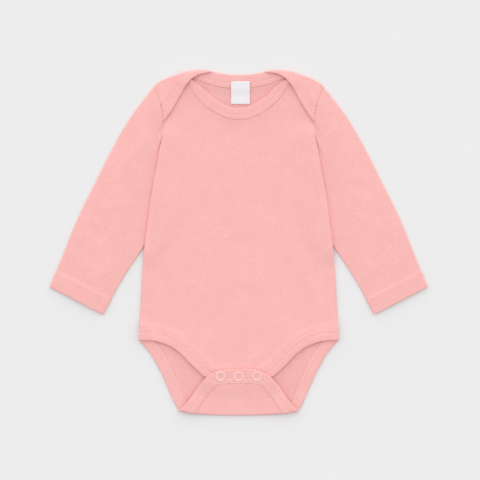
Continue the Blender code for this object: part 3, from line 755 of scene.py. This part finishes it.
def back_loops(tree, across, along):
    """The inside of plain knit: rows of small arcs."""
    course = tree.math("MULTIPLY_ADD", along, 1.0 / COURSE, -0.22)
    return tree.wave(tree.math("MULTIPLY_ADD", tree.wave(across, WALE), 0.44, course))


def knit_material(name, colour, loops, relief):
    tree = Tree(name, 0.92, sheen=0.16, sheen_roughness=0.45, specular=0.2)
    level = loops(tree, *tree.weave())
    fibre, slub, patch = tree.noise(0.35, 3.0), tree.noise(2.0), tree.noise(16.0, 3.0)
    # The colour follows the loops' height: darker between the loops, a painted shade in the knit's hollows.
    # The other factors are tone that differs at random.
    tree.colour(colour, [(level, 0.035), (fibre, 0.06), (slub, 0.11), (patch, 0.055)], warmth=0.7)
    tree.roughen(fibre, 0.86, 0.98)
    tree.bump([(patch, 0.45), (slub, 0.2), (level, relief), (fibre, 0.03)])
    return tree.material


def thread_material(name, colour):
    """Thread of two plies, whose twist shows as slanting bands."""
    tree = Tree(name, 0.6, sheen=0.1, specular=0.35)
    across, along = tree.weave()
    twist = tree.wave(tree.math("MULTIPLY_ADD", along, 2.2, across))
    fuzz = tree.noise(0.15)
    # The colour follows the twist's height: darker in the grooves between the plies, a painted shade. The
    # fuzz is tone that differs at random.
    tree.colour(colour, [(twist, 0.08), (fuzz, 0.04)], warmth=0.7)
    tree.roughen(fuzz, 0.5, 0.7)
    tree.bump([(twist, 0.05)])
    return tree.material


HOLLOW_FROM = 4.3      # radius where a cap ring's rim gives way to its hollow
HOLLOW_EDGE = 0.3
HOLLOW_PAINTED_SHADE = 0.28    # how much darker the paint is there: painted shade in the ring's hollow


def snap_material(name, colour):
    """Pressed metal with fine orange peel in its paint. The paint is darker in the ring's hollow, a painted
    shade, and lighter on the rim, a painted highlight.
    """
    tree = Tree(name, 0.32, specular=0.5, coat=0.25)
    peel, haze = tree.noise(0.6), tree.noise(3.0)
    turn, radius = tree.weave()
    # Painted shade: the paint darkens from the rim's crest into the ring's hollow.
    inward = tree.math("MULTIPLY_ADD", radius, -1.0 / HOLLOW_EDGE, HOLLOW_FROM / HOLLOW_EDGE)
    hollow = tree.math("MAXIMUM", tree.math("MINIMUM", inward, 1.0), 0.0)
    shade = tree.math("MULTIPLY_ADD", hollow, -HOLLOW_PAINTED_SHADE, 1.0)
    tree.colour(colour, [(haze, 0.02), (peel, 0.01)], warmth=0.6, shade=shade)
    tree.roughen(haze, 0.26, 0.42)
    tree.bump([(peel, 0.012)])
    return tree.material


def satin_material(name, colour):
    """Woven label satin: fine ribs across and long floats along."""
    tree = Tree(name, 0.5, sheen=0.1, specular=0.4)
    across, along = tree.weave()
    rib, end = tree.wave(along, 0.33), tree.wave(across, 0.21)
    fuzz = tree.noise(1.2, 3.0)
    # The colour follows the ribs' and the floats' height: darker in the grooves between them, a painted
    # shade. The fuzz is tone that differs at random.
    tree.colour(colour, [(rib, 0.03), (end, 0.015), (fuzz, 0.02)])
    tree.roughen(fuzz, 0.42, 0.62)
    tree.bump([(fuzz, 0.05), (rib, 0.03), (end, 0.012)])
    return tree.material


def floor_material(name, colour):
    tree = Tree(name, 0.9, specular=0.1)
    tree.colour(colour, [(tree.noise(40.0), 0.002)])
    return tree.material


KNIT_FACE = knit_material("knit_face", PINK, face_loops, 0.10)
KNIT_INSIDE = knit_material("knit_inside", PINK_INSIDE, back_loops, 0.09)
BINDING_KNIT = knit_material("binding_knit", PINK, face_loops, 0.12)
THREAD = thread_material("thread", PINK_THREAD)
HEM_THREAD = thread_material("hem_thread", CUFF_THREAD)
LABEL_THREAD = thread_material("label_thread", LABEL_WHITE)
SNAP_PAINT_WITH_PAINTED_LIGHT = snap_material("snap_paint_with_painted_light", PINK_SNAP_WITH_PAINTED_HIGHLIGHT)
SATIN = satin_material("label_satin", LABEL_WHITE)
FLOOR = floor_material("floor", FLOOR_GREY)


# ---- meshes

def loft_faces(rings, count, closed=False):
    """Quads from ring to ring of count points. If it isn't closed, its end rings are capped."""
    ring = np.arange(rings if closed else rings - 1)[:, None]
    c = np.arange(count)[None]
    n = (c + 1) % count
    here, there = ring * count, (ring + 1) % rings * count
    faces = np.stack([here + c, here + n, there + n, there + c], axis=-1).reshape(-1, 4).tolist()
    if not closed:
        last = (rings - 1) * count
        faces += [list(range(count))[::-1], list(range(last, last + count))]
    return faces


def placed(name, data):
    """A new object in the scene."""
    obj = bpy.data.objects.new(name, data)
    bpy.context.scene.collection.objects.link(obj)
    return obj


def add_mesh(name, vertices, faces, weave, materials, indices=None):
    """A smooth mesh. weave gives each vertex its place on the flat cloth."""
    mesh = bpy.data.meshes.new(name)
    mesh.from_pydata((np.asarray(vertices) * MM).tolist(), [], faces)
    if indices is not None:
        mesh.polygons.foreach_set("material_index", np.asarray(indices, np.int32))
    shape = bmesh.new()
    shape.from_mesh(mesh)
    bmesh.ops.recalc_face_normals(shape, faces=shape.faces)
    shape.to_mesh(mesh)
    shape.free()
    layer = mesh.uv_layers.new(name="weave")
    corners = np.empty(len(mesh.loops), np.int32)
    mesh.loops.foreach_get("vertex_index", corners)
    layer.data.foreach_set("uv", np.asarray(weave, np.float32)[corners].ravel())
    for material in materials:
        mesh.materials.append(material)
    mesh.shade_smooth()
    mesh.update()
    obj = placed(name, mesh)
    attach(obj, "root")
    return obj


def clearance(points, others):
    """Each point's distance to the nearest of the others."""
    nearest = [np.linalg.norm(block[:, None] - others[None], axis=2).min(axis=1)
               for block in np.array_split(points, max(1, len(points) // 2000))]
    return np.concatenate(nearest)


def fold_rows():
    """Rows of extra points on the flat back piece where it turns over its folds."""
    points = []
    for fold, limit in ((shoulder_fold, SHOULDER_FOLD[-1].x - 1.0), (seat_fold, SEAT_FOLD[-1].x)):
        middle = np.linspace(-limit, limit, round(2 * limit / TURN_ALONG) + 1)
        slope = (fold(middle + 1.0) - fold(middle - 1.0)) / 2
        for past in np.arange(-TURN_REACH, TURN_REACH + TURN_STEP / 2, TURN_STEP):
            x = middle - slope * past / (1 + slope ** 2)
            points.append(np.column_stack([x, fold(x) + past]))
    return np.vstack(points)


def within(outline, points, margin):
    """The points inside the outline that lie further than the margin from its own points."""
    points = points[inside(outline, points[:, 0], points[:, 1])]
    return points[clearance(points, outline) > margin]


def net(outline, turns):
    """Triangles over the outline, each counter-clockwise, through the turns and a regular mesh."""
    low, high = outline.min(axis=0), outline.max(axis=0)
    rows = np.arange(low[1], high[1], PANEL_STEP * math.sqrt(3) / 2)
    columns = np.arange(PANEL_STEP * math.floor(low[0] / PANEL_STEP), high[0], PANEL_STEP)
    mesh = np.array([(x + PANEL_STEP / 2 * (k % 2), y) for k, y in enumerate(rows) for x in columns])
    mesh = mesh[np.abs(past_fold(mesh[:, 0], mesh[:, 1])) >= TURN_REACH + PANEL_STEP / 2]
    points = np.vstack([outline, within(outline, turns, TURN_STEP), within(outline, mesh, MESH_MARGIN)])
    count = len(outline)
    loop = [(k, (k + 1) % count) for k in range(count)]
    result = delaunay_2d_cdt([Vector(p) for p in points.tolist()], loop, [], 1, WELD)
    flat = np.array([tuple(v) for v in result[0]])
    faces = np.array([f for f in result[2]])
    a, b, c = flat[faces[:, 0]], flat[faces[:, 1]], flat[faces[:, 2]]
    area = (b[:, 0] - a[:, 0]) * (c[:, 1] - a[:, 1]) - (b[:, 1] - a[:, 1]) * (c[:, 0] - a[:, 0])
    faces[area < 0] = faces[area < 0][:, ::-1]
    return flat, faces


def rim_edges(faces):
    """The edges on the outside of the net, in the direction of their faces."""
    edges = np.vstack([faces[:, [0, 1]], faces[:, [1, 2]], faces[:, [2, 0]]])
    known = set(map(tuple, edges.tolist()))
    return np.array([e for e in edges.tolist() if (e[1], e[0]) not in known])


def panel(name, outline, lay, materials, turns=np.empty((0, 2))):
    """A layer of knit with a rounded rim. materials are its upper and lower side on the flat piece."""
    flat, faces = net(outline, turns)
    middle, up = laid(lay, flat)
    count = len(flat)
    rim = rim_edges(faces)
    start, finish = rim.T
    out = np.cross(unit(middle[finish] - middle[start]), up[start])
    outward = np.zeros((count, 3))
    np.add.at(outward, start, out)
    np.add.at(outward, finish, out)
    on_rim = np.unique(rim)
    nose_of = np.zeros(count, int)
    nose_of[on_rim] = 2 * count + np.arange(len(on_rim))
    nose = middle[on_rim] + unit(outward[on_rim]) * KNIT * RIM_NOSE
    vertices = np.vstack([middle + up * KNIT / 2, middle - up * KNIT / 2, nose])
    sheets = [*faces.tolist(), *(faces[:, ::-1] + count).tolist()]
    sides = [*np.column_stack([finish, start, nose_of[start], nose_of[finish]]).tolist(),
             *np.column_stack([nose_of[finish], nose_of[start], start + count, finish + count]).tolist()]
    indices = np.repeat([0, 1, 0], [len(faces), len(faces), len(sides)])
    weave = np.vstack([flat, flat, flat[on_rim]])
    return add_mesh(name, vertices, sheets + sides, weave, materials, indices)


def round_nose(half, points):
    """A half round of a profile, from the folded edge to its full height."""
    return [(0.0, half * (1 - math.cos(a)), half * math.sin(a)) for a in np.linspace(0, math.pi / 2, points)]


def both_faces(top):
    """A profile's top half, then the same below in reverse."""
    return np.array(top + [(share, extra, -level) for share, extra, level in reversed(top[1:])])


STITCH_SINK = 0.36     # how deep the binding's rows of stitches pull in, and half how wide
STITCH_SINK_WIDTH = 0.42
SWELL = 0.12           # how far a binding swells between its nose and its first row of stitches
ROLL = 0.10            # and between its two rows
END_DROP = 0.14        # how far it drops at the seam
# Distances from the seam at which the section has a point.
PROFILE_POINTS = (5.7, 5.2, 4.95, 4.7, 4.45, 4.2, 3.7, 3.1, 2.5, 2.0, 1.75, 1.5, 1.25, 1.0, 0.6, 0.2)


def binding_profile():
    """A binding's section, all round: share of its width, extra distance from its edge, and height.

    It is folded round the panel's edge: a round nose, two rows of stitches sunk in it, and a slot.
    """
    half = BINDING / 2
    top = round_nose(half, 6)
    start = ROWS[1] + 1.0
    for share in np.linspace(0.0, 1.0, 6)[1:-1]:
        top.append((share, half * (1 - share) - start * share, half + SWELL * math.sin(math.pi * share)))
    for back in PROFILE_POINTS:
        sunk = STITCH_SINK * sum(math.exp(-((back - row) / STITCH_SINK_WIDTH) ** 2) for row in ROWS)
        roll = ROLL * math.exp(-(back - sum(ROWS) / 2) ** 2)
        top.append((1.0, -back, half + roll - sunk - (END_DROP if back == PROFILE_POINTS[-1] else 0.0)))
    top += [(1.0, 0.0, half - LIP * 0.6), (1.0, -0.05, half - LIP), (1.0, -SLOT, half - LIP)]
    return both_faces(top)


def label_profile():
    """The folded label's section, with its fold as the nose and a slot between its two layers."""
    half, gap, depth = LABEL / 2, LABEL_AIR / 2, LABEL_TOP - LABEL_BOTTOM - LABEL_FOLD
    top = round_nose(half, 5)
    top += [(share, half * (1 - share), half) for share in np.linspace(0.0, 1.0, 16)[1:]]
    top += [(1.0, 0.0, gap)]
    top += [(1.0, -depth * share, gap) for share in (0.33, 0.66, 1.0)]
    return both_faces(top)


def between(edge, seam, share, extra):
    """A point of each section: a share of the way from edge to seam, and extra beyond that."""
    across = seam - edge
    width = np.linalg.norm(across, axis=1)
    return edge + across * (share + extra / width)[:, None]


def folded_strip(name, edge, seam, lay, profile, material, ripple=0.0, seed=0):
    """A strip folded lengthways, lofted through its sections."""
    along = distances(edge)
    wave = ripple * cloud(along, np.zeros(len(along)), 9.0, seed)
    rows, weave = [], []
    run = distances(profile[:, 1:] + profile[:, :1] * np.array([[BINDING_WIDTH, 0.0]]))
    for (share, extra, level), v in zip(profile, run):
        flat = between(edge, seam, share, extra + wave * (1 - share))
        middle, up = laid(lay, flat)
        squeeze = pinch(middle[:, 0], middle[:, 1])[:, None]
        rows.append(middle + up * level * squeeze)
        weave.append(np.column_stack([along, np.full(len(along), v)]))
    return add_loft(name, rows, weave, material)


def add_loft(name, lines, weave, material):
    """A capped loft from its lengthways lines, which go all round it."""
    faces = loft_faces(len(lines[0]), len(lines))
    vertices = np.stack(lines, axis=1).reshape(-1, 3)
    return add_mesh(name, vertices, faces, np.stack(weave, axis=1).reshape(-1, 2), [material])


def stitch_template():
    """One stitch: a short thread that dips into the cloth at both ends."""
    turns = np.linspace(0, 2 * math.pi, 6, endpoint=False)
    rings = []
    for share, size in ((-1.0, 0.45), (-0.6, 0.95), (0.0, 1.05), (0.6, 0.95), (1.0, 0.45)):
        sink = -STITCH_DIP * STITCH_WIDTH * share ** 4
        rings.append([(share * STITCH_LENGTH / 2, math.cos(a) * size * STITCH_WIDTH / 2,
                       math.sin(a) * size * STITCH_WIDTH / STITCH_FLATNESS + sink) for a in turns])
    return np.array(rings).reshape(-1, 3), loft_faces(len(rings), len(turns))


def stitches(name, paths, material, pitch=STITCH_PITCH):
    """Rows of stitches as one mesh. Each path is its points and the cloth's outward side there."""
    shape, shape_faces = stitch_template()
    vertices, faces, weave = [], [], []
    total = 0
    for points, up in paths:
        along = distances(points)
        centres = np.arange(pitch / 2, along[-1], pitch)
        ahead = columns_at(centres + STITCH_REACH, along, points)
        behind = columns_at(centres - STITCH_REACH, along, points)
        forward = unit(ahead - behind)
        normal = unit(columns_at(centres, along, up))
        side = unit(np.cross(normal, forward))
        axes = np.stack([forward, side, normal], axis=1)
        made = columns_at(centres, along, points)[:, None] + shape @ axes
        for k in range(len(centres)):
            faces += [[i + total for i in face] for face in shape_faces]
            total += len(shape)
        vertices.append(made.reshape(-1, 3))
        weave.append(np.tile(shape[:, :2], (len(centres), 1)))
    return add_mesh(name, np.vstack(vertices), faces, np.vstack(weave), [material])


def binding_rows(edge, seam, lay):
    """The two rows of stitches on both faces of a binding."""
    paths = []
    for row in ROWS:
        flat = between(edge, seam, 1.0, -row)
        middle, up = laid(lay, flat)
        thin = pinch(middle[:, 0], middle[:, 1])[:, None]
        for side, level in ((1, BINDING / 2 - ROW_SINK), (-1, BINDING / 2 - LOWER_ROW_SINK)):
            paths.append((middle + up * level * thin * side, up * side))
    return paths


# ---- sleeves

ALONG = 150            # rings of a sleeve
ACROSS = 40            # points across each of its two layers
EDGE_TURN = 6          # points round each of its two edges
LOFT = 0.9             # how far the two layers of a sleeve stand apart in its middle
HEM = 18.6             # width of the cuff's hem
HEM_EDGE = 1.2
HEM_EXTRA = 0.28       # what the hem's second layer adds outside and inside
HEM_SINK = 0.24        # how deep the hem's stitches pull in, and half how wide
HEM_SINK_WIDTH = 0.6
HEM_RING = -12         # a ring in the hem
RIM_RINGS = 5          # rings round the cuff's edge
FLAT_MOUTH = 0.35      # how much closer together the two layers lie at the cuff
MOUTH_REACH = 40.0
SIDE_COVER = 26.0      # the two layers stand fully apart this far from the body's side
HEAD_COVER = 30.0      # and this far from the sleeve's head
HEAD_ROLL = 0.2        # how far the sleeve rolls up beside the armhole's seam
ROLL_AT = 2.0
ROLL_END = 5.0         # how far past that it is flat again
HEAD_SINK = 0.6        # how far it sinks right at the seam, and half how wide
HEAD_SINK_WIDTH = 0.7


def sleeve_net():
    """A net of points between the sleeve's four edges: shoulder to cuff, and outer to inner edge."""
    outer = resampled(smooth(SLEEVE_OUTER, 1.0), ALONG + 1)[:, None]
    inner = resampled(smooth(SLEEVE_INNER, 1.0), ALONG + 1)[:, None]
    head = resampled(smooth(SLEEVE_HEAD, 1.0), ACROSS + 1)[None]
    cuff = (outer[-1] + (inner[-1] - outer[-1]) * np.linspace(0, 1, ACROSS + 1)[:, None])[None]
    s = np.linspace(0, 1, ALONG + 1)[:, None, None]
    t = np.linspace(0, 1, ACROSS + 1)[None, :, None]
    corners = ((1 - s) * (1 - t) * outer[0] + (1 - s) * t * inner[0]
               + s * (1 - t) * outer[-1] + s * t * inner[-1])
    return (1 - t) * outer + t * inner + (1 - s) * head + s * cuff - corners


def hem_share(from_cuff):
    """1 on the hem and 0 past it, with a soft edge."""
    return 1 - ease((from_cuff - HEM + HEM_EDGE) / HEM_EDGE)


def sleeve_heights(spread, from_cuff, side):
    """The middle of the lower and of the upper layer at each point of the net."""
    x, y = spread[..., 0], spread[..., 1]
    hem = hem_share(from_cuff)
    low = KNIT / 2 + HEM_EXTRA * hem + 0.02
    t = np.linspace(0, 1, x.shape[1])[None]
    from_head = np.linalg.norm(spread - spread[:1], axis=2)
    uncovered = ease((x - body_side_x(y)) / SIDE_COVER) * ease(from_head / HEAD_COVER)
    puff = (1 - (2 * t - 1) ** 4) * uncovered
    mouth = 1 - ease(from_cuff / MOUTH_REACH)
    relief = creased(SLEEVE_CREASES["right" if side > 0 else "left"], side * x, y)
    relief = relief + LUMP * cloud(side * x, y, 15.0, 41) + SMALL_LUMP * cloud(side * x, y, 8.0, 42)
    gap = SLEEVE_GAP + (LOFT + relief) * puff - FLAT_MOUTH * mouth * puff
    flat_height = low + KNIT + gap + HEM_EXTRA * hem
    head = spread[0]
    lap = read(LAP_MID, side * head[:, 0], head[:, 1])
    front = read(FRONT_MID, side * head[:, 0], head[:, 1])
    meets = front + (lap - front) * ease((head[:, 1] - LAP_TIP_Y) / 3.0)
    raised = ease((head[:, 1] - UNDERARM_Y) / UNDERARM_EASE)
    share = (1 - ease(from_head / HEAD_RISE)) * raised
    roll = HEAD_ROLL * ease(from_head / ROLL_AT) * (1 - ease((from_head - ROLL_AT) / ROLL_END))
    roll = roll - HEAD_SINK * np.exp(-(from_head / HEAD_SINK_WIDTH) ** 2)
    return low, flat_height + share * (meets - flat_height) + roll * raised


def sleeve_rings(side):
    """The middle of the sleeve's cloth, ring by ring, and each point's distance from the cuff."""
    spread = sleeve_net()
    steps = np.linalg.norm(np.diff(spread, axis=0), axis=2)
    from_cuff = np.vstack([np.cumsum(steps[::-1], axis=0)[::-1], np.zeros(spread.shape[1])])
    low, high = sleeve_heights(spread, from_cuff, side)
    rings = []
    for row, lower, upper in zip(spread, low, high):
        across = unit(row[-1] - row[0])
        reach = (upper[[0, -1]] - lower[[0, -1]]) / 2
        inset = np.minimum(reach, 1.0) + KNIT / 2
        t = np.linspace(0, 1, len(row))[:, None]
        flat = row + across * (inset[0] * (1 - t) ** 3 - inset[1] * t ** 3)
        turn = np.linspace(0, math.pi, EDGE_TURN + 2)[1:-1]
        inner = [(*(flat[-1] + across * (inset[1] - KNIT / 2) * math.sin(a)),
                  (upper[-1] + lower[-1]) / 2 + reach[1] * math.cos(a)) for a in turn]
        outer = [(*(flat[0] - across * (inset[0] - KNIT / 2) * math.sin(a)),
                  (upper[0] + lower[0]) / 2 - reach[0] * math.cos(a)) for a in turn]
        top = [(*p, z) for p, z in zip(flat, upper)]
        bottom = [(*p, z) for p, z in zip(flat[::-1], lower[::-1])]
        rings.append(top + inner + bottom + outer)
    points = np.array(rings)
    edge_in, edge_out = from_cuff[:, -1:].repeat(EDGE_TURN, 1), from_cuff[:, :1].repeat(EDGE_TURN, 1)
    reach = np.hstack([from_cuff, edge_in, from_cuff[:, ::-1], edge_out])
    points[..., 0] *= side
    return points, reach


def ring_normals(points, side):
    along = np.gradient(points, axis=0)
    around = np.roll(points, -1, axis=1) - np.roll(points, 1, axis=1)
    return unit(np.cross(around, along)) * side


def hem_sink(from_cuff, shares):
    """How deep the hem's stitches pull the cloth in."""
    total = 0.0
    for outer, inner in HEM_ROWS:
        row = outer + (inner - outer) * shares
        total = total + HEM_SINK * np.exp(-((from_cuff - row) / HEM_SINK_WIDTH) ** 2)
    return total


def across_share(points):
    """How far each point of a ring lies from the outer to the inner edge, 0 to 1."""
    start, finish = points[:, :1, :2], points[:, ACROSS:ACROSS + 1, :2]
    axis = finish - start
    return np.clip(((points[..., :2] - start) * axis).sum(axis=2) / (axis ** 2).sum(axis=2), 0.0, 1.0)


def sleeve(name, side):
    """A flattened tube of knit with a rounded, hemmed cuff, open at both ends."""
    points, from_cuff = sleeve_rings(side)
    up = ring_normals(points, side)
    shares = across_share(points)
    hem = hem_share(from_cuff)
    outer_half = KNIT / 2 + HEM_EXTRA * hem - hem_sink(from_cuff, shares)
    inner_half = KNIT / 2 + HEM_EXTRA * (from_cuff < HEM)
    outside = points + up * outer_half[..., None]
    inner = points - up * inner_half[..., None]
    last = len(points) - 1
    ahead = unit(points[-1] - points[-2])
    rim = []
    for a in np.linspace(0, math.pi, RIM_RINGS + 2)[1:-1]:
        depth = (outer_half[last] * (1 + math.cos(a)) + inner_half[last] * (1 - math.cos(a))) / 2
        rim.append(points[-1] + up[last] * (depth * math.cos(a))[:, None] + ahead * (0.7 * math.sin(a)))
    rings = np.concatenate([outside, np.array(rim), inner[::-1]])
    faces = np.array(loft_faces(*rings.shape[:2], closed=True))
    around = distances(points[ALONG // 2])
    around = np.minimum(around, around[-1] - around)
    run = distances(rings[:, ACROSS // 2])
    weave = np.stack(np.meshgrid(around, run), axis=-1).reshape(-1, 2)
    inside_from = (len(outside) + RIM_RINGS - 1) * rings.shape[1]
    obj = add_mesh(name, rings.reshape(-1, 3), faces.tolist(), weave, [KNIT_FACE, KNIT_INSIDE],
                   faces.min(axis=1) >= inside_from)
    surface = points + up * (KNIT / 2 + HEM_EXTRA - 0.1)
    return obj, cuff_paths(surface, up, from_cuff, shares)


def cuff_paths(surface, up, from_cuff, shares):
    """The rows of stitches round the cuff."""
    paths = []
    for outer, inner in HEM_ROWS:
        line, sides = [], []
        for c in [*range(surface.shape[1]), 0]:
            row = [outer + (inner - outer) * shares[HEM_RING, c]]
            line.append(columns_at(row, from_cuff[::-1, c], surface[::-1, c]))
            sides.append(columns_at(row, from_cuff[::-1, c], up[::-1, c]))
        paths.append((np.vstack(line), np.vstack(sides)))
    return paths


# ---- snaps

def snap_part(name, profile, x, z):
    """A ring turned about a vertical axis from its half section."""
    turns = np.linspace(0, 2 * math.pi, SNAP_TURNS, endpoint=False)
    weave = [(a, radius) for a in turns for radius, level in profile]
    vertices = [(x + radius * math.cos(a), SNAP_Y + radius * math.sin(a), z + level)
                for a in turns for radius, level in profile]
    faces = loft_faces(SNAP_TURNS, len(profile), closed=True)
    return add_mesh(name, vertices, faces, weave, [SNAP_PAINT_WITH_PAINTED_LIGHT])


def snaps():
    for name, x in SNAPS:
        for kind, profile, z in (("back_ring", BACK_RING, BACK_RING_Z), ("stud", STUD, STUD_Z),
                                 ("socket", SOCKET, SOCKET_Z), ("cap_ring", CAP_RING, CAP_RING_Z)):
            made = snap_part(f"{kind}_of_{name}_snap", profile, x, z)
            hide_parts(f"snap_{kind}_{name}")


# ---- the garment

def within_sides(line):
    """A leg line kept inside the side seams."""
    limit = body_side_x(line[:, 1])
    return np.column_stack([np.clip(line[:, 0], -limit, limit), line[:, 1]])


def side_seam(name, side):
    """The turned edge of a side seam, which joins the front to the back from underarm to leg."""
    y = np.arange(SEAM_TOP, SEAM_BOTTOM, -SEAM_STEP)
    x = side * (body_side_x(y) - SEAM_HALF_WIDTH)
    front, back = read(FRONT_MID, x, y), read(BACK_MID, x, y)
    tall = (front - back) / 2 + KNIT * SEAM_COVER
    turns = np.linspace(0, 2 * math.pi, SEAM_TURNS, endpoint=False)
    points, weave = [], []
    for a in turns:
        bulge = SEAM_HALF_WIDTH * np.sign(math.cos(a)) * abs(math.cos(a)) ** SEAM_SQUARE
        points.append(np.column_stack([x + bulge, y, (front + back) / 2 + tall * math.sin(a)]))
        weave.append(np.column_stack([np.full(len(y), a * SEAM_HALF_WIDTH), y]))
    return add_loft(name, points, weave, KNIT_FACE)


def label():
    """The folded label, sewn down at its top over the back neck binding's seam."""
    x = np.linspace(-LABEL_WIDTH / 2, LABEL_WIDTH / 2, 25) + LABEL_OFFSET
    edge, seam = (np.column_stack([x, np.full(len(x), y)]) for y in (LABEL_BOTTOM, LABEL_TOP))
    made = folded_strip("label", edge, seam, lay_label, label_profile(), SATIN)
    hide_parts("neck_label")
    flat = between(edge, seam, 1.0, -LABEL_ROW)[1:-1]
    middle, up = laid(lay_label, flat)
    row = [(middle + up * LABEL / 2, up)]
    rows = stitches("label_stitches", row, LABEL_THREAD, LABEL_PITCH)


def in_slots(outline, neck_seam, leg_seam):
    """A panel's outline, with its neck and leg edges inside the slots of their bindings."""
    neck_line = moved_sideways(neck_seam, EDGE_IN_SLOT)
    leg_line = within_sides(moved_sideways(leg_seam, -EDGE_IN_SLOT))
    return outline(neck_line, leg_line, PANEL_STEP)


def garment():
    back_edges = in_slots(back_outline, back_neck_seam, back_leg_seam)
    front_edges = in_slots(front_outline, front_neck_seam, front_leg_seam)
    back = panel("back", back_edges, lay_back, [KNIT_INSIDE, KNIT_FACE], fold_rows())
    front = panel("front", front_edges, lay_front, [KNIT_FACE, KNIT_INSIDE])
    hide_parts("back_panel")
    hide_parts("front_panel")

    profile = binding_profile()
    strips = [("back_neck", back_neck_edge, back_neck_seam, lay_back, 5),
              ("back_leg", back_leg_edge, back_leg_seam, lay_back, 6),
              ("front_neck", front_neck_edge, front_neck_seam, lay_front, 7),
              ("front_leg", front_leg_edge, front_leg_seam, lay_front, 8)]
    for name, edge, seam, lay, seed in strips:
        band = folded_strip(f"{name}_edge_band", edge, seam, lay, profile, BINDING_KNIT,
                            RIPPLE, seed)
        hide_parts(f"{name}_binding")
        rows = stitches(f"{name}_stitches", binding_rows(edge, seam, lay), THREAD)

    for name, side in SIDES:
        tube, paths = sleeve(f"{name}_sleeve", side)
        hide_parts(f"sleeve_{name}")
        rows = stitches(f"{name}_cuff_stitches", paths, HEM_THREAD)

    seams = [side_seam(f"{name}_side_seam", side) for name, side in SIDES]
    label()
    snaps()


# ---- floor, light and camera

FLOOR_SIDE = 16.0      # metres
VIEW_WIDTH = 0.5184
VIEW_CENTRE = (0.00135, 0.00281)
LENS = 100.0
SENSOR = 36.0
SKY_STRENGTH = 1.062
SKY_LEAN = 0.62        # how much brighter the sky is past the neck, and darker past the seat


def floor():
    mesh = bpy.data.meshes.new("floor")
    half = FLOOR_SIDE / 2
    corners = [(-half, -half, 0), (half, -half, 0), (half, half, 0), (-half, half, 0)]
    mesh.from_pydata(corners, [], [(0, 1, 2, 3)])
    mesh.materials.append(FLOOR)
    placed("floor", mesh)


def light():
    """A soft white tent, brighter on the side past the neck."""
    world = bpy.data.worlds.new("sky")
    world.use_nodes = True
    nodes, links = world.node_tree.nodes, world.node_tree.links
    place = nodes.new("ShaderNodeTexCoord")
    parts = nodes.new("ShaderNodeSeparateXYZ")
    lean = nodes.new("ShaderNodeMath")
    lean.operation = "MULTIPLY_ADD"
    lean.inputs[1].default_value = SKY_STRENGTH * SKY_LEAN
    lean.inputs[2].default_value = SKY_STRENGTH
    links.new(place.outputs["Generated"], parts.inputs[0])
    links.new(parts.outputs["Y"], lean.inputs[0])
    links.new(lean.outputs[0], nodes["Background"].inputs["Strength"])
    nodes["Background"].inputs["Color"].default_value = (1.0, 1.0, 1.0, 1.0)
    bpy.context.scene.world = world
    bpy.context.scene.view_settings.view_transform = "Standard"


def camera():
    lens = bpy.data.cameras.new("camera")
    lens.lens = LENS
    lens.sensor_width = SENSOR
    obj = placed("camera", lens)
    obj.location = (*VIEW_CENTRE, VIEW_WIDTH * LENS / SENSOR)
    bpy.context.scene.camera = obj


camera()
light()
floor()
garment()
